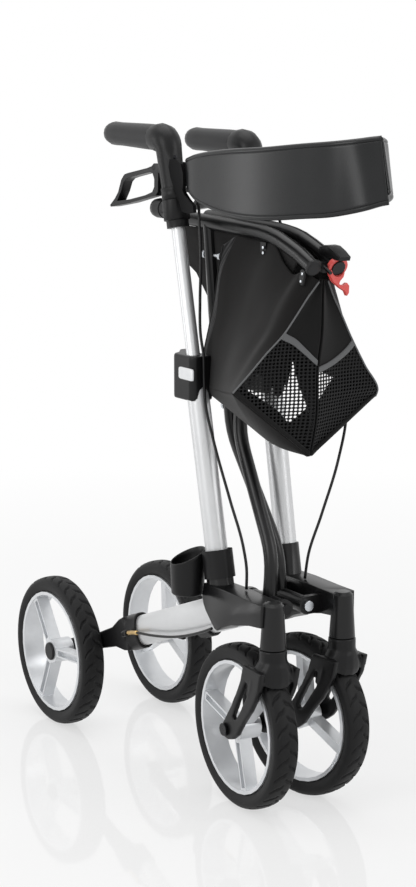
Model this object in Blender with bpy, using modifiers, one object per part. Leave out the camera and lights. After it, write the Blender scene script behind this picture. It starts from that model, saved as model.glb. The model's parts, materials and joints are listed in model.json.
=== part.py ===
"""Folding outdoor rollator, standing folded on its four wheels.

Metres, +Z up. The front points to -Y and the user's right to -X. The origin is on the floor
in the middle of the length and the width. "Forward" below is a distance ahead of the rear axle.
"""

import math

import bmesh
import bpy
from mathutils import Matrix, Vector

# Clearances
GAP = 0.0003
RUNNING = 0.0005

# Wheels
WHEEL_RADIUS = 0.115
WHEEL_STEPS = 32
TYRE_WIDTH = 0.037
TYRE_HEIGHT = 0.0218
RIM_WIDTH = 0.034
RIM_WALL = 0.005
HUB_RADIUS = 0.0185
HUB_LENGTH = 0.032
AXLE_RADIUS = 0.006
SPOKES = 3
SPOKE_WIDTH = 0.013
SPOKE_RIB = 0.0022
SPOKE_INNER_FACE = -0.004
SPOKE_OUTER_FACE = 0.0155
SPOKE_CHANNEL = 0.0075
REAR_TRACK = 0.193
CAP_RADIUS = 0.014
CAP_HEIGHT = 0.0035
REAR_SPOKE_TURN = {-1: 55.0, 1: 88.0}
CASTER_SPOKE_TURN = {-1: 15.0, 1: 85.0}

# Casters
HEAD_SPACING = 0.113
HEAD_FORWARD = 0.530
HEAD_BOTTOM = 0.2426
HEAD_TOP = 0.306
HEAD_BOTTOM_RADIUS = 0.0180
HEAD_TOP_RADIUS = 0.0142
TRAIL = 0.072
CASTER_TURN = {-1: -2.5, 1: 9.0}
STEM_RADIUS = 0.008
STEM_LENGTH = 0.045
COLLAR_RADIUS = 0.0190
LEG_SPREAD = 0.0235
LEG_THICKNESS = 0.0082
TYRE_CLEARANCE = 0.0035

# Lower frame
AXIS_SLOPE = 20.5
TUBE_X = 0.060
TUBE_HALF_WIDTH = 0.012
TUBE_HALF_HEIGHT = 0.0225
TUBE_WALL = 0.002
TUBE_START = 0.1865
TUBE_END = 0.4360
ARM_X = 0.059
ARM_WIDTH = 0.035
ARM_ROUNDING = 0.004
DROPOUT_INNER_X = 0.064
DROPOUT_THICKNESS = 0.0115
COLLAR_WALL = 0.0045
COLLAR_START = 0.176
COLLAR_END = 0.2105
CABLE_BOSS_X = 0.0825

# Uprights and handles
UPRIGHT_X = 0.0572
UPRIGHT_FORWARD = 0.3929
UPRIGHT_HEIGHT = 0.34
UPRIGHT_LEAN = 0.2005
UPRIGHT_FLARE = 0.016
UPRIGHT_RADIUS = 0.0156
UPRIGHT_WALL = 0.0020
UPPER_RADIUS = 0.0095
UPPER_WALL = 0.0014
UPRIGHT_FOOT = 0.2935
UPRIGHT_STEP = 0.595
UPRIGHT_TOP = 0.884
SOCKET_BOTTOM = 0.252
SOCKET_TOP = 0.345
SOCKET_RADIUS = 0.0195
HANDLE_DROP = {-1: 0.0, 1: 0.0100}
CLAMP_BOTTOM = 0.786
CLAMP_SHOULDER = 0.7955
CLAMP_TOP = 0.8245
CLAMP_RADIUS = 0.0185
CLAMP_SLEEVE_RADIUS = 0.0155
KNOB_HEIGHT = 0.810
KNOB_RADIUS = 0.0138
KNOB_FORWARD = 0.2730
KNOB_LENGTH = 0.0290
HOUSING_RADIUS = 0.0158
ELBOW_RADIUS = 0.0205
HOUSING_END_RADIUS = 0.0182
HOUSING_BOTTOM = 0.828
ELBOW_HEIGHT = 0.9055
ELBOW_LENGTH = 0.0170
GRIP_FORWARD = 0.2490
GRIP_END = 0.1220
GRIP_RISE = 0.004
GRIP_RADIUS = 0.0178
LEVER_WIDTH = 0.015
LEVER_PIN = (0.2605, 0.8655)
PIN_RADIUS = 0.0025
EAR_THICKNESS = 0.0035

# Fold: two crossed tubes between the side arms and the seat rails
PIVOT_X = 0.018
PIVOT_HEIGHT = 0.285
RAIL_HEIGHT = 0.790
OPEN_ANGLE = 50.5
CROSS_RADIUS = 0.00975
CROSS_OFFSET = 0.013
SLEEVE_RADIUS = 0.0115
SLEEVE_FRONT = 0.4931
SLEEVE_REAR = 0.4229
LUG_THICKNESS = 0.0085
LUG_RADIUS = 0.0125
BOLT_RADIUS = 0.004
BOLT_HEAD_RADIUS = 0.0075
BOLT_HEAD_HEIGHT = 0.005
RAIL_RADIUS = 0.010
STAY_HEIGHT = 0.747
HOOK_THICKNESS = 0.0060
HOOK_FORWARD = 0.5605
HOOK_REACH = 0.0190
CATCH_RADIUS = 0.0025

# Seat bracket
BRACKET_BOTTOM = 0.553
BRACKET_TOP = 0.615

# Soft parts
PANEL_THICKNESS = 0.0035
PANEL_DROP = 0.1995
PANEL_REAR = 0.382
PANEL_FRONT = 0.526
TAB_FORWARD = 0.450
STRAP_REACH = 0.6857
STRAP_THICKNESS = 0.009
CABLE_RADIUS = 0.0025

REAR_AXLE_Y = (STRAP_REACH - WHEEL_RADIUS) / 2
RIM_RADIUS = WHEEL_RADIUS - TYRE_HEIGHT - GAP
CROSS_HEIGHT = (PIVOT_HEIGHT + RAIL_HEIGHT) / 2
SLOPE = math.radians(AXIS_SLOPE)
OPEN = math.radians(OPEN_ANGLE)
LANDED_RAIL_HEIGHT = (
    PIVOT_HEIGHT - 2 * PIVOT_X * math.sin(OPEN) + (RAIL_HEIGHT - PIVOT_HEIGHT) * math.cos(OPEN)
)
RIGHT, LEFT = -1, 1
LETTER = {RIGHT: "r", LEFT: "l"}

# Outlines in the side plane, as (forward, height)
ARM_OUTLINE = [
    (0.3830, 0.2860), (0.3880, 0.3050), (0.4400, 0.3060), (0.4950, 0.3045), (0.5300, 0.3040),
    (0.5300, 0.2730), (0.5000, 0.2698), (0.4570, 0.2600), (0.4330, 0.2515), (0.4210, 0.2440),
    (0.4150, 0.2455), (0.4030, 0.2560), (0.3920, 0.2665), (0.3860, 0.2760),
]
LEG_OUTLINE = [
    (0.5040, 0.2180), (0.4990, 0.2050), (0.4955, 0.1940), (0.4850, 0.1735), (0.4700, 0.1500),
    (0.4545, 0.1285), (0.4480, 0.1190), (0.4475, 0.1100), (0.4535, 0.1030), (0.4640, 0.1015),
    (0.4760, 0.1050), (0.4880, 0.1140), (0.5050, 0.1370), (0.5230, 0.1570), (0.5340, 0.1740),
    (0.5430, 0.1900), (0.5500, 0.2160),
]
LEG_SLOT = [
    (0.5100, 0.1960), (0.4960, 0.1730), (0.4800, 0.1450), (0.4760, 0.1370), (0.4800, 0.1345),
    (0.4860, 0.1375), (0.4980, 0.1540), (0.5120, 0.1740), (0.5210, 0.1890), (0.5180, 0.1950),
]
# Sections of the fork's crown: height, middle, half width, half length
CROWN_SECTIONS = [
    (0.2270, 0.5300, 0.0190, 0.0190), (0.2200, 0.5300, 0.0240, 0.0212),
    (0.2110, 0.5280, 0.0300, 0.0240), (0.2010, 0.5255, 0.0325, 0.0262),
    (0.1880, 0.5225, 0.0325, 0.0262), (0.1770, 0.5170, 0.0322, 0.0215),
]
LEVER_OUTLINE = [
    (0.2640, 0.8715), (0.2353, 0.8642), (0.1800, 0.8548), (0.1712, 0.8525), (0.1625, 0.8444),
    (0.1536, 0.8270), (0.1448, 0.8181), (0.1300, 0.8073), (0.1320, 0.8050), (0.1446, 0.8067),
    (0.1875, 0.8134), (0.2293, 0.8219), (0.2580, 0.8278), (0.2640, 0.8330), (0.2660, 0.8650),
]
LEVER_LOOP = [
    (0.2434, 0.8591), (0.1909, 0.8499), (0.1782, 0.8472), (0.1696, 0.8419), (0.1622, 0.8289),
    (0.1549, 0.8200), (0.1500, 0.8140), (0.1876, 0.8187), (0.2294, 0.8264), (0.2486, 0.8319),
    (0.2541, 0.8390), (0.2545, 0.8500), (0.2500, 0.8575),
]
BAR_OUTLINE = [
    (-0.0060, -0.0145), (0.0060, -0.0145), (0.0850, -0.0120), (0.1400, -0.0150), (0.1650, -0.0235),
    (0.1800, -0.0255), (0.1800, 0.0255), (0.1650, 0.0235), (0.1400, 0.0150), (0.0850, 0.0120),
    (0.0060, 0.0145), (-0.0060, 0.0145), (-0.0145, 0.0060), (-0.0145, -0.0060),
]
CROSS_ROUTE = [
    (0.4500, 0.2850), (0.4500, 0.3500), (0.3500, 0.5030), (0.3500, 0.5660), (0.3245, 0.6400),
    (0.3245, 0.7900),
]
RAIL_ROUTE = [
    (0.2500, 0.7945), (0.3200, 0.7920), (0.3870, 0.7895), (0.4410, 0.7870), (0.4830, 0.7800),
    (0.5290, 0.7640), (0.5650, 0.7470),
]
RAIL_END = {RIGHT: 0.5590, LEFT: 0.5650}
HOOK_ARM = [
    (-0.0135, -0.0035), (-0.0125, -0.0095), (-0.0078, -0.0181), (0.0025, -0.0265),
    (0.0118, -0.0321), (0.0146, -0.0379), (0.0175, -0.0343), (0.0179, -0.0251),
    (0.0144, -0.0211), (0.0099, -0.0237), (0.0048, -0.0238), (0.0019, -0.0218),
    (0.0036, -0.0178), (0.0085, -0.0134), (0.0095, -0.0107), (0.0110, -0.0040),
]

# The bracket in plan, as (distance from the middle plane, forward)
BRACKET_OUTLINE = [
    (0.0790, 0.3145), (0.0790, 0.3560), (0.0730, 0.3625), (0.0480, 0.3625), (0.0430, 0.3580),
    (0.0430, 0.3020), (0.0175, 0.3020), (0.0175, 0.2815), (0.0500, 0.2815), (0.0600, 0.3000),
    (0.0740, 0.3085),
]

# Backrest strap: x, forward at the bottom, forward at the top, bottom, top
STRAP_STATIONS = [
    (0.0705, 0.3400, 0.3370, 0.8390, 0.8815), (0.0740, 0.3660, 0.3660, 0.8275, 0.8880),
    (0.0745, 0.4060, 0.4060, 0.8190, 0.8935), (0.0725, 0.4550, 0.4550, 0.8125, 0.8980),
    (0.0655, 0.5150, 0.5150, 0.8100, 0.9020), (0.0520, 0.5780, 0.5780, 0.8140, 0.9080),
    (0.0335, 0.6360, 0.6330, 0.8230, 0.9130), (0.0165, 0.6730, 0.6570, 0.8330, 0.9165),
    (0.0043, 0.6845, 0.6660, 0.8380, 0.9185),
]

# Brake cables, as (x, forward, height)
CABLE_ROUTE = {
    RIGHT: [
        (0.0640, 0.3108, 0.8350), (0.0620, 0.3260, 0.8370), (0.0600, 0.3420, 0.8296),
        (0.0615, 0.3540, 0.7900), (0.0625, 0.3589, 0.7460), (0.0630, 0.3576, 0.6918),
        (0.0628, 0.3585, 0.6450), (0.0625, 0.3660, 0.6150), (0.0625, 0.3668, 0.5900),
        (0.0620, 0.3700, 0.5500),
        (0.0600, 0.3869, 0.5030), (0.0560, 0.4227, 0.4255), (0.0520, 0.4499, 0.3650),
        (0.0505, 0.4559, 0.3361), (0.0500, 0.4550, 0.3068),
    ],
    LEFT: [
        (0.0635, 0.3131, 0.8240), (0.0620, 0.3280, 0.8250), (0.0620, 0.3450, 0.8160),
        (0.0760, 0.3700, 0.7500), (0.0980, 0.4100, 0.6600), (0.1130, 0.4450, 0.5900),
        (0.1100, 0.4600, 0.5350), (0.0930, 0.4660, 0.4730), (0.0700, 0.4600, 0.3971),
        (0.0540, 0.4520, 0.3400), (0.0500, 0.4500, 0.3068),
    ],
}
LOWER_CABLE_ROUTE = [
    (0.0755, 0.4075, 0.2440), (0.0765, 0.3900, 0.2360), (0.0775, 0.3528, 0.2216),
    (0.0780, 0.3140, 0.2095), (0.0810, 0.2494, 0.1967), (0.0825, 0.2150, 0.1920),
    (0.0825, 0.1975, 0.1880), (0.0825, 0.1884, 0.1854),
]

# The bag's near half. Each level has the rear edge, the side, the front corner and the crease
BAG_LEVELS = [
    [(0.0270, 0.4020, 0.7760), (0.0300, 0.4550, 0.7730), (0.0240, 0.5420, 0.7430), (0, 0.5560, 0.7330)],
    [(0.0310, 0.3740, 0.7150), (0.0450, 0.4550, 0.7130), (0.0440, 0.5470, 0.7060), (0, 0.5555, 0.7000)],
    [(0.0360, 0.3530, 0.6450), (0.0640, 0.4450, 0.6430), (0.0780, 0.5340, 0.6400), (0, 0.5520, 0.6400)],
    [(0.0330, 0.3420, 0.5720), (0.0760, 0.4280, 0.5710), (0.1140, 0.5150, 0.5710), (0, 0.5450, 0.5680)],
    [(0.0040, 0.3060, 0.5480), (0.0040, 0.3950, 0.5200), (0.0060, 0.4680, 0.5020), (0, 0.5300, 0.4980)],
]
BAG_INSIDE = [
    [(0.0210, 0.2000, 0.8000), (0.0240, 0.4550, 0.8000), (0.0160, 0.5320, 0.8000), (0, 0.5440, 0.8000)],
    [(0.0210, 0.2000, 0.7150), (0.0360, 0.4500, 0.7150), (0.0340, 0.5380, 0.7150), (0, 0.5440, 0.7150)],
    [(0.0210, 0.2000, 0.6450), (0.0540, 0.4450, 0.6450), (0.0640, 0.5260, 0.6450), (0, 0.5400, 0.6450)],
    [(0.0210, 0.2000, 0.5860), (0.0600, 0.4380, 0.5860), (0.0880, 0.5070, 0.5860), (0, 0.5330, 0.5860)],
    [(0.0210, 0.2000, 0.5600), (0.0350, 0.4300, 0.5600), (0.0500, 0.4950, 0.5600), (0, 0.5290, 0.5600)],
]


# Scene, collections and materials
for old in list(bpy.data.objects):
    bpy.data.objects.remove(old, do_unlink=True)
rollator = bpy.data.collections.new("rollator")
workshop = bpy.data.collections.new("cutters")
for group in (rollator, workshop):
    bpy.context.scene.collection.children.link(group)


def material(name, colour, roughness, metallic=0.0):
    made = bpy.data.materials.new(name)
    made.use_nodes = True
    shader = made.node_tree.nodes["Principled BSDF"]
    shader.inputs["Base Color"].default_value = (*colour, 1.0)
    shader.inputs["Roughness"].default_value = roughness
    shader.inputs["Metallic"].default_value = metallic
    return made


BLACK_PLASTIC = material("black_plastic", (0.022, 0.022, 0.023), 0.45)
BLACK_PAINT = material("black_paint", (0.018, 0.018, 0.019), 0.35)
SILVER = material("silver_anodised", (0.72, 0.72, 0.73), 0.35, 0.9)
RIM_SILVER = material("rim_silver", (0.62, 0.63, 0.65), 0.3, 0.6)
RUBBER = material("tyre_rubber", (0.035, 0.035, 0.036), 0.8)
GRIP_RUBBER = material("grip_rubber", (0.05, 0.05, 0.052), 0.7)
ZINC = material("zinc", (0.6, 0.62, 0.64), 0.25, 1.0)
RED_PLASTIC = material("red_plastic", (0.8, 0.06, 0.05), 0.4)
FABRIC = material("black_fabric", (0.025, 0.025, 0.027), 0.9)
PADDING = material("black_padding", (0.03, 0.03, 0.032), 0.5)


# Shapes
def point(x, forward, height):
    return Vector((x, REAR_AXLE_Y - forward, height))


def along(distance, across, x):
    """A point on the line from the rear axle up the lower tube, and a distance square to it."""
    forward = distance * math.cos(SLOPE) - across * math.sin(SLOPE)
    height = WHEEL_RADIUS + distance * math.sin(SLOPE) + across * math.cos(SLOPE)
    return point(x, forward, height)


def upright_at(side, height):
    """Centre of the leaning upright at a height."""
    rise = height - UPRIGHT_HEIGHT
    return point(
        side * (UPRIGHT_X + UPRIGHT_FLARE * rise), UPRIGHT_FORWARD - UPRIGHT_LEAN * rise, height
    )


def placed(mesh, name):
    made = bpy.data.objects.new(name, mesh)
    workshop.objects.link(made)
    return made


def baked(source, name="shape"):
    """The evaluated mesh of an object as a new object, with loose caps welded and faces out."""
    bpy.context.view_layer.update()
    graph = bpy.context.evaluated_depsgraph_get()
    mesh = bpy.data.meshes.new_from_object(source.evaluated_get(graph))
    mesh.transform(source.matrix_world)
    cleaned = bmesh.new()
    cleaned.from_mesh(mesh)
    bmesh.ops.remove_doubles(cleaned, verts=cleaned.verts, dist=0.000002)
    bmesh.ops.recalc_face_normals(cleaned, faces=cleaned.faces)
    cleaned.to_mesh(mesh)
    cleaned.free()
    mesh.materials.clear()
    bpy.data.objects.remove(source, do_unlink=True)
    return placed(mesh, name)


def facing(start, direction, turn=0.0):
    """Matrix that stands local Z along a direction."""
    quaternion = Vector(direction).to_track_quat("Z", "Y")
    return (
        Matrix.Translation(start) @ quaternion.to_matrix().to_4x4() @ Matrix.Rotation(turn, 4, "Z")
    )


def rod(start, end, radius, sides=16, end_radius=None):
    """Closed cylinder or cone between two points."""
    start, end = Vector(start), Vector(end)
    mesh = bpy.data.meshes.new("rod")
    shape = bmesh.new()
    bmesh.ops.create_cone(
        shape, cap_ends=True, segments=sides, radius1=radius,
        radius2=radius if end_radius is None else end_radius, depth=(end - start).length,
    )
    shape.to_mesh(mesh)
    shape.free()
    mesh.transform(facing((start + end) / 2, end - start))
    return placed(mesh, "rod")


def box(low, high):
    """Box between two corners."""
    low, high = Vector(low), Vector(high)
    mesh = bpy.data.meshes.new("box")
    shape = bmesh.new()
    bmesh.ops.create_cube(shape, size=1.0)
    shape.to_mesh(mesh)
    shape.free()
    size = [abs(value) for value in high - low]
    mesh.transform(Matrix.Translation((low + high) / 2) @ Matrix.Diagonal((*size, 1.0)))
    return placed(mesh, "box")


def turned(profile, start, direction, steps=20, turn=0.0):
    """Profile of (radius, distance) revolved about a line. It closes on itself off the axis."""
    mesh = bpy.data.meshes.new("profile")
    ring = profile[0][0] > 0
    last = len(profile)
    edges = [(i, i + 1) for i in range(last - 1)] + ([(last - 1, 0)] if ring else [])
    mesh.from_pydata([(radius, 0.0, distance) for radius, distance in profile], edges, [])
    made = placed(mesh, "profile")
    screw = made.modifiers.new("Turn", "SCREW")
    screw.axis = "Z"
    screw.angle = math.tau
    screw.steps = steps
    screw.render_steps = steps
    screw.use_merge_vertices = True
    screw.merge_threshold = 0.00001
    made.matrix_world = facing(start, direction, turn)
    return baked(made)


def slab(outline, thickness, middle, across, up, holes=()):
    """Flat outline with holes, of even thickness, in the plane of two directions."""
    curve = bpy.data.curves.new("outline", "CURVE")
    curve.dimensions = "2D"
    curve.fill_mode = "BOTH"
    curve.extrude = thickness / 2
    for loop in (outline, *holes):
        spline = curve.splines.new("POLY")
        spline.points.add(len(loop) - 1)
        for place, corner in zip(spline.points, loop):
            place.co = (corner[0], corner[1], 0.0, 1.0)
        spline.use_cyclic_u = True
    made = placed(curve, "outline")
    across, up = Vector(across).normalized(), Vector(up).normalized()
    axes = Matrix((across, up, across.cross(up))).transposed().to_4x4()
    made.matrix_world = Matrix.Translation(middle) @ axes
    return baked(made)


def side_plate(outline, x, thickness, holes=()):
    """Outline of (forward, height) at a distance x from the middle plane."""
    return slab(outline, thickness, point(x, 0, 0), (0, -1, 0), (0, 0, 1), holes)


def pipe(points, radius, resolution=4, scales=()):
    """Round bar along a list of points, whose radius can be scaled at each point."""
    curve = bpy.data.curves.new("route", "CURVE")
    curve.dimensions = "3D"
    curve.bevel_depth = radius
    curve.bevel_resolution = resolution
    curve.use_fill_caps = True
    spline = curve.splines.new("POLY")
    spline.points.add(len(points) - 1)
    for place, corner, scale in zip(spline.points, points, scales or [1.0] * len(points)):
        place.co = (*corner, 1.0)
        place.radius = scale
    return baked(placed(curve, "route"))


def smooth(points, steps):
    """Points of a smooth curve through the given ones, with the given steps between each two."""
    points = [Vector(p) for p in points]
    padded = [2 * points[0] - points[1], *points, 2 * points[-1] - points[-2]]
    result = []
    for before, start, end, after in zip(padded, padded[1:], padded[2:], padded[3:]):
        for step in range(steps):
            t = step / steps
            result.append(
                0.5 * (
                    2 * start + (end - before) * t
                    + (2 * before - 5 * start + 4 * end - after) * t * t
                    + (3 * start - before - 3 * end + after) * t ** 3
                )
            )
    return [*result, points[-1]]


def rounded(points, radius, steps=4):
    """The same route with each corner replaced by a bend that starts a radius away from it."""
    points = [Vector(p) for p in points]
    result = [points[0]]
    for before, corner, after in zip(points, points[1:], points[2:]):
        start = corner + (before - corner).normalized() * radius
        end = corner + (after - corner).normalized() * radius
        for step in range(steps + 1):
            t = step / steps
            result.append(start * (1 - t) ** 2 + corner * 2 * t * (1 - t) + end * t * t)
    return [*result, points[-1]]


def bevelled(source, width, segments=2):
    bevel = source.modifiers.new("Rounding", "BEVEL")
    bevel.width = width
    bevel.segments = segments
    bevel.limit_method = "ANGLE"
    return baked(source)


def combined(base, joined=(), cut=()):
    """One solid: the base with other solids joined to it and then others cut away."""
    for operation, tools in (("UNION", joined), ("DIFFERENCE", cut)):
        for tool in tools:
            change = base.modifiers.new("Join", "BOOLEAN")
            change.operation = operation
            change.solver = "EXACT"
            change.object = tool
            base = baked(base)
            bpy.data.objects.remove(tool, do_unlink=True)
    return base


def loft(loops):
    """Solid through closed loops of the same number of points, with flat ends."""
    count = len(loops[0])
    faces = [tuple(reversed(range(count)))]
    for level in range(len(loops) - 1):
        for i in range(count):
            j = (i + 1) % count
            low, high = level * count, (level + 1) * count
            faces.append((low + i, low + j, high + j, high + i))
    top = (len(loops) - 1) * count
    faces.append(tuple(range(top, top + count)))
    mesh = bpy.data.meshes.new("loft")
    mesh.from_pydata([tuple(p) for loop in loops for p in loop], [], faces)
    shape = bmesh.new()
    shape.from_mesh(mesh)
    bmesh.ops.triangulate(shape, faces=shape.faces)
    shape.to_mesh(mesh)
    shape.free()
    return baked(placed(mesh, "loft"))


def oval(half_width, half_height, count=20):
    """Flattened oval whose long sides are nearly straight."""
    result = []
    for i in range(count):
        angle = math.tau * (i + 0.5) / count
        c, s = math.cos(angle), math.sin(angle)
        result.append((
            half_width * math.copysign(abs(c) ** 0.8, c),
            half_height * math.copysign(abs(s) ** 0.9, s),
        ))
    return result


def joint_at(name, place, parent=None, turn=0.0):
    """Empty on a joint's axis, which carries the pieces that move about it."""
    empty = bpy.data.objects.new(name, None)
    rollator.objects.link(empty)
    empty.empty_display_size = 0.02
    empty.location = place - (parent["place"] if parent else Vector((0, 0, 0)))
    empty.rotation_euler = (0, 0, turn)
    if parent:
        empty.parent = parent["empty"]
    return {"empty": empty, "place": place}


def finished(source, name, surface, carrier=None):
    """Names a shape as a sub-part, gives it its material and puts its origin on its joint."""
    origin = carrier["place"] if carrier else Vector((0, 0, 0))
    mesh = source.data
    mesh.name = name
    mesh.transform(Matrix.Translation(-origin))
    mesh.shade_smooth()
    mesh.set_sharp_from_angle(angle=math.radians(35))
    mesh.materials.append(surface)
    bpy.data.objects.remove(source, do_unlink=True)
    made = bpy.data.objects.new(name, mesh)
    rollator.objects.link(made)
    if carrier:
        made.parent = carrier["empty"]
    return made


# Wheels
def tyre(centre, name, carrier):
    """Ring with a rounded tread, turned so that one flat of its outline rests on the floor."""
    outer = WHEEL_RADIUS / math.cos(math.pi / WHEEL_STEPS)
    inner = WHEEL_RADIUS - TYRE_HEIGHT
    half = TYRE_WIDTH / 2
    tread = [(0, 0.006), (0.0022, 0.0105), (0.0065, 0.0150), (0.0110, half - 0.0002)]
    side_wall = [(outer - drop, place) for drop, place in tread] + [(inner, half - 0.002)]
    profile = [(radius, -place) for radius, place in reversed(side_wall)] + side_wall
    shape = turned(profile, centre, (1, 0, 0), WHEEL_STEPS, math.pi / WHEEL_STEPS)
    finished(shape, name, RUBBER, carrier)


def rim(centre, side, spoke_turn, name, carrier):
    """Open wheel: a barrel, a hub and three channelled spokes near the outer face."""
    inner = RIM_RADIUS - RIM_WALL
    half = RIM_WIDTH / 2
    barrel = turned(
        [(inner, -half), (RIM_RADIUS, -half), (RIM_RADIUS, half), (inner, half)],
        centre, (1, 0, 0), WHEEL_STEPS, math.pi / WHEEL_STEPS,
    )
    reach = Vector((HUB_LENGTH / 2, 0, 0))
    hub = rod(centre - reach, centre + reach, HUB_RADIUS, 16)
    spokes, channels = [], []
    length = inner + RIM_WALL / 2
    for number in range(SPOKES):
        spin = Matrix.Rotation(math.radians(spoke_turn) + math.tau * number / SPOKES, 4, "X")
        place = Matrix.Translation(centre) @ spin
        faces = sorted((side * SPOKE_INNER_FACE, side * SPOKE_OUTER_FACE))
        web = box((faces[0], HUB_RADIUS * 0.6, -SPOKE_WIDTH / 2), (faces[1], length, SPOKE_WIDTH / 2))
        web.data.transform(place)
        spokes.append(web)
        groove = sorted((side * (SPOKE_OUTER_FACE - SPOKE_CHANNEL), side * (SPOKE_OUTER_FACE + 0.01)))
        hollow = box(
            (groove[0], HUB_RADIUS + 0.003, -SPOKE_WIDTH / 2 + SPOKE_RIB),
            (groove[1], inner - 0.004, SPOKE_WIDTH / 2 - SPOKE_RIB),
        )
        hollow.data.transform(place)
        channels.append(hollow)
    bore = rod(centre - reach * 1.2, centre + reach * 1.2, AXLE_RADIUS + RUNNING, 16)
    finished(combined(barrel, [*spokes, hub], [*channels, bore]), name, RIM_SILVER, carrier)


def rear_wheel(side):
    letter = LETTER[side]
    centre = point(side * REAR_TRACK / 2, 0, WHEEL_RADIUS)
    spin = joint_at(f"rear_wheel_{letter}", centre)
    tyre(centre, f"rear_tyre_{letter}", spin)
    rim(centre, side, REAR_SPOKE_TURN[side], f"rear_rim_{letter}", spin)
    outward = Vector((side, 0, 0))
    face = centre + outward * (HUB_LENGTH / 2 + GAP)
    cap = turned(
        [(0, 0), (CAP_RADIUS, 0), (CAP_RADIUS, CAP_HEIGHT * 0.5), (CAP_RADIUS * 0.85, CAP_HEIGHT),
         (0, CAP_HEIGHT)],
        face, outward, 20,
    )
    finished(cap, f"hub_cap_{letter}", BLACK_PLASTIC, spin)
    bar_face = DROPOUT_INNER_X + DROPOUT_THICKNESS
    hub_face = REAR_TRACK / 2 - HUB_LENGTH / 2
    start = DROPOUT_INNER_X - GAP - 0.005
    shoulder = AXLE_RADIUS + 0.003
    axle = turned(
        [(0, 0), (shoulder, 0), (shoulder, 0.005), (AXLE_RADIUS, 0.005),
         (AXLE_RADIUS, bar_face + GAP - start), (shoulder, bar_face + GAP - start),
         (shoulder, hub_face - GAP - start), (AXLE_RADIUS, hub_face - GAP - start),
         (AXLE_RADIUS, hub_face + HUB_LENGTH - 0.001 - start),
         (0, hub_face + HUB_LENGTH - 0.001 - start)],
        point(side * start, 0, WHEEL_RADIUS), outward, 12,
    )
    finished(axle, f"rear_axle_{letter}", ZINC)


def caster(side):
    """Swivelling fork with its wheel. All of it is made straight and turned by its empty."""
    letter = LETTER[side]
    head = point(side * HEAD_SPACING / 2, HEAD_FORWARD, HEAD_BOTTOM)
    swivel = joint_at(f"caster_swivel_{letter}", head, turn=math.radians(CASTER_TURN[side]))
    centre = point(side * HEAD_SPACING / 2, HEAD_FORWARD - TRAIL, WHEEL_RADIUS)
    outward = Vector((side, 0, 0))
    leg_middle = LEG_SPREAD + LEG_THICKNESS / 2
    top = HEAD_BOTTOM - GAP
    collar_end = CROWN_SECTIONS[0][0] - 0.004 - top
    collar = turned(
        [(0, STEM_LENGTH), (STEM_RADIUS, STEM_LENGTH), (STEM_RADIUS, 0), (COLLAR_RADIUS, 0),
         (COLLAR_RADIUS, collar_end), (0, collar_end)],
        Vector((head.x, head.y, top)), (0, 0, 1), 16,
    )
    crown = loft([
        [
            Vector((
                head.x + half_width * math.cos(angle), REAR_AXLE_Y - middle + half_length * math.sin(angle),
                height,
            ))
            for angle in [math.tau * step / 16 for step in range(16)]
        ]
        for height, middle, half_width, half_length in CROWN_SECTIONS
    ])
    legs = [
        side_plate(LEG_OUTLINE, head.x + offset, LEG_THICKNESS, [LEG_SLOT])
        for offset in (-leg_middle, leg_middle)
    ]
    half = Vector((LEG_SPREAD - 0.0002, 0, 0))
    arch = rod(centre - half, centre + half, WHEEL_RADIUS + TYRE_CLEARANCE, WHEEL_STEPS)
    wide = outward * (LEG_SPREAD + LEG_THICKNESS + 0.002)
    bore = rod(centre - wide, centre + wide, AXLE_RADIUS + GAP, 16)
    fork = combined(crown, [collar, *legs], [arch, bore])
    finished(fork, f"caster_fork_{letter}", BLACK_PLASTIC, swivel)
    spin = joint_at(f"caster_wheel_{letter}", centre, swivel)
    tyre(centre, f"caster_tyre_{letter}", spin)
    rim(centre, side, CASTER_SPOKE_TURN[side], f"caster_rim_{letter}", spin)
    leg_face = LEG_SPREAD + LEG_THICKNESS + GAP
    shoulder = AXLE_RADIUS + 0.003
    half_hub = HUB_LENGTH / 2 + GAP
    half_profile = [
        (shoulder, half_hub), (shoulder, LEG_SPREAD - GAP), (AXLE_RADIUS, LEG_SPREAD - GAP),
        (AXLE_RADIUS, leg_face), (shoulder, leg_face), (shoulder, leg_face + 0.004),
    ]
    profile = [(0, -leg_face - 0.004)]
    profile += [(radius, -distance) for radius, distance in reversed(half_profile)]
    profile += [(AXLE_RADIUS, -half_hub), (AXLE_RADIUS, half_hub), *half_profile]
    profile += [(0, leg_face + 0.004)]
    axle = turned(profile, centre, outward, 12)
    finished(axle, f"caster_axle_{letter}", ZINC, swivel)


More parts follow.
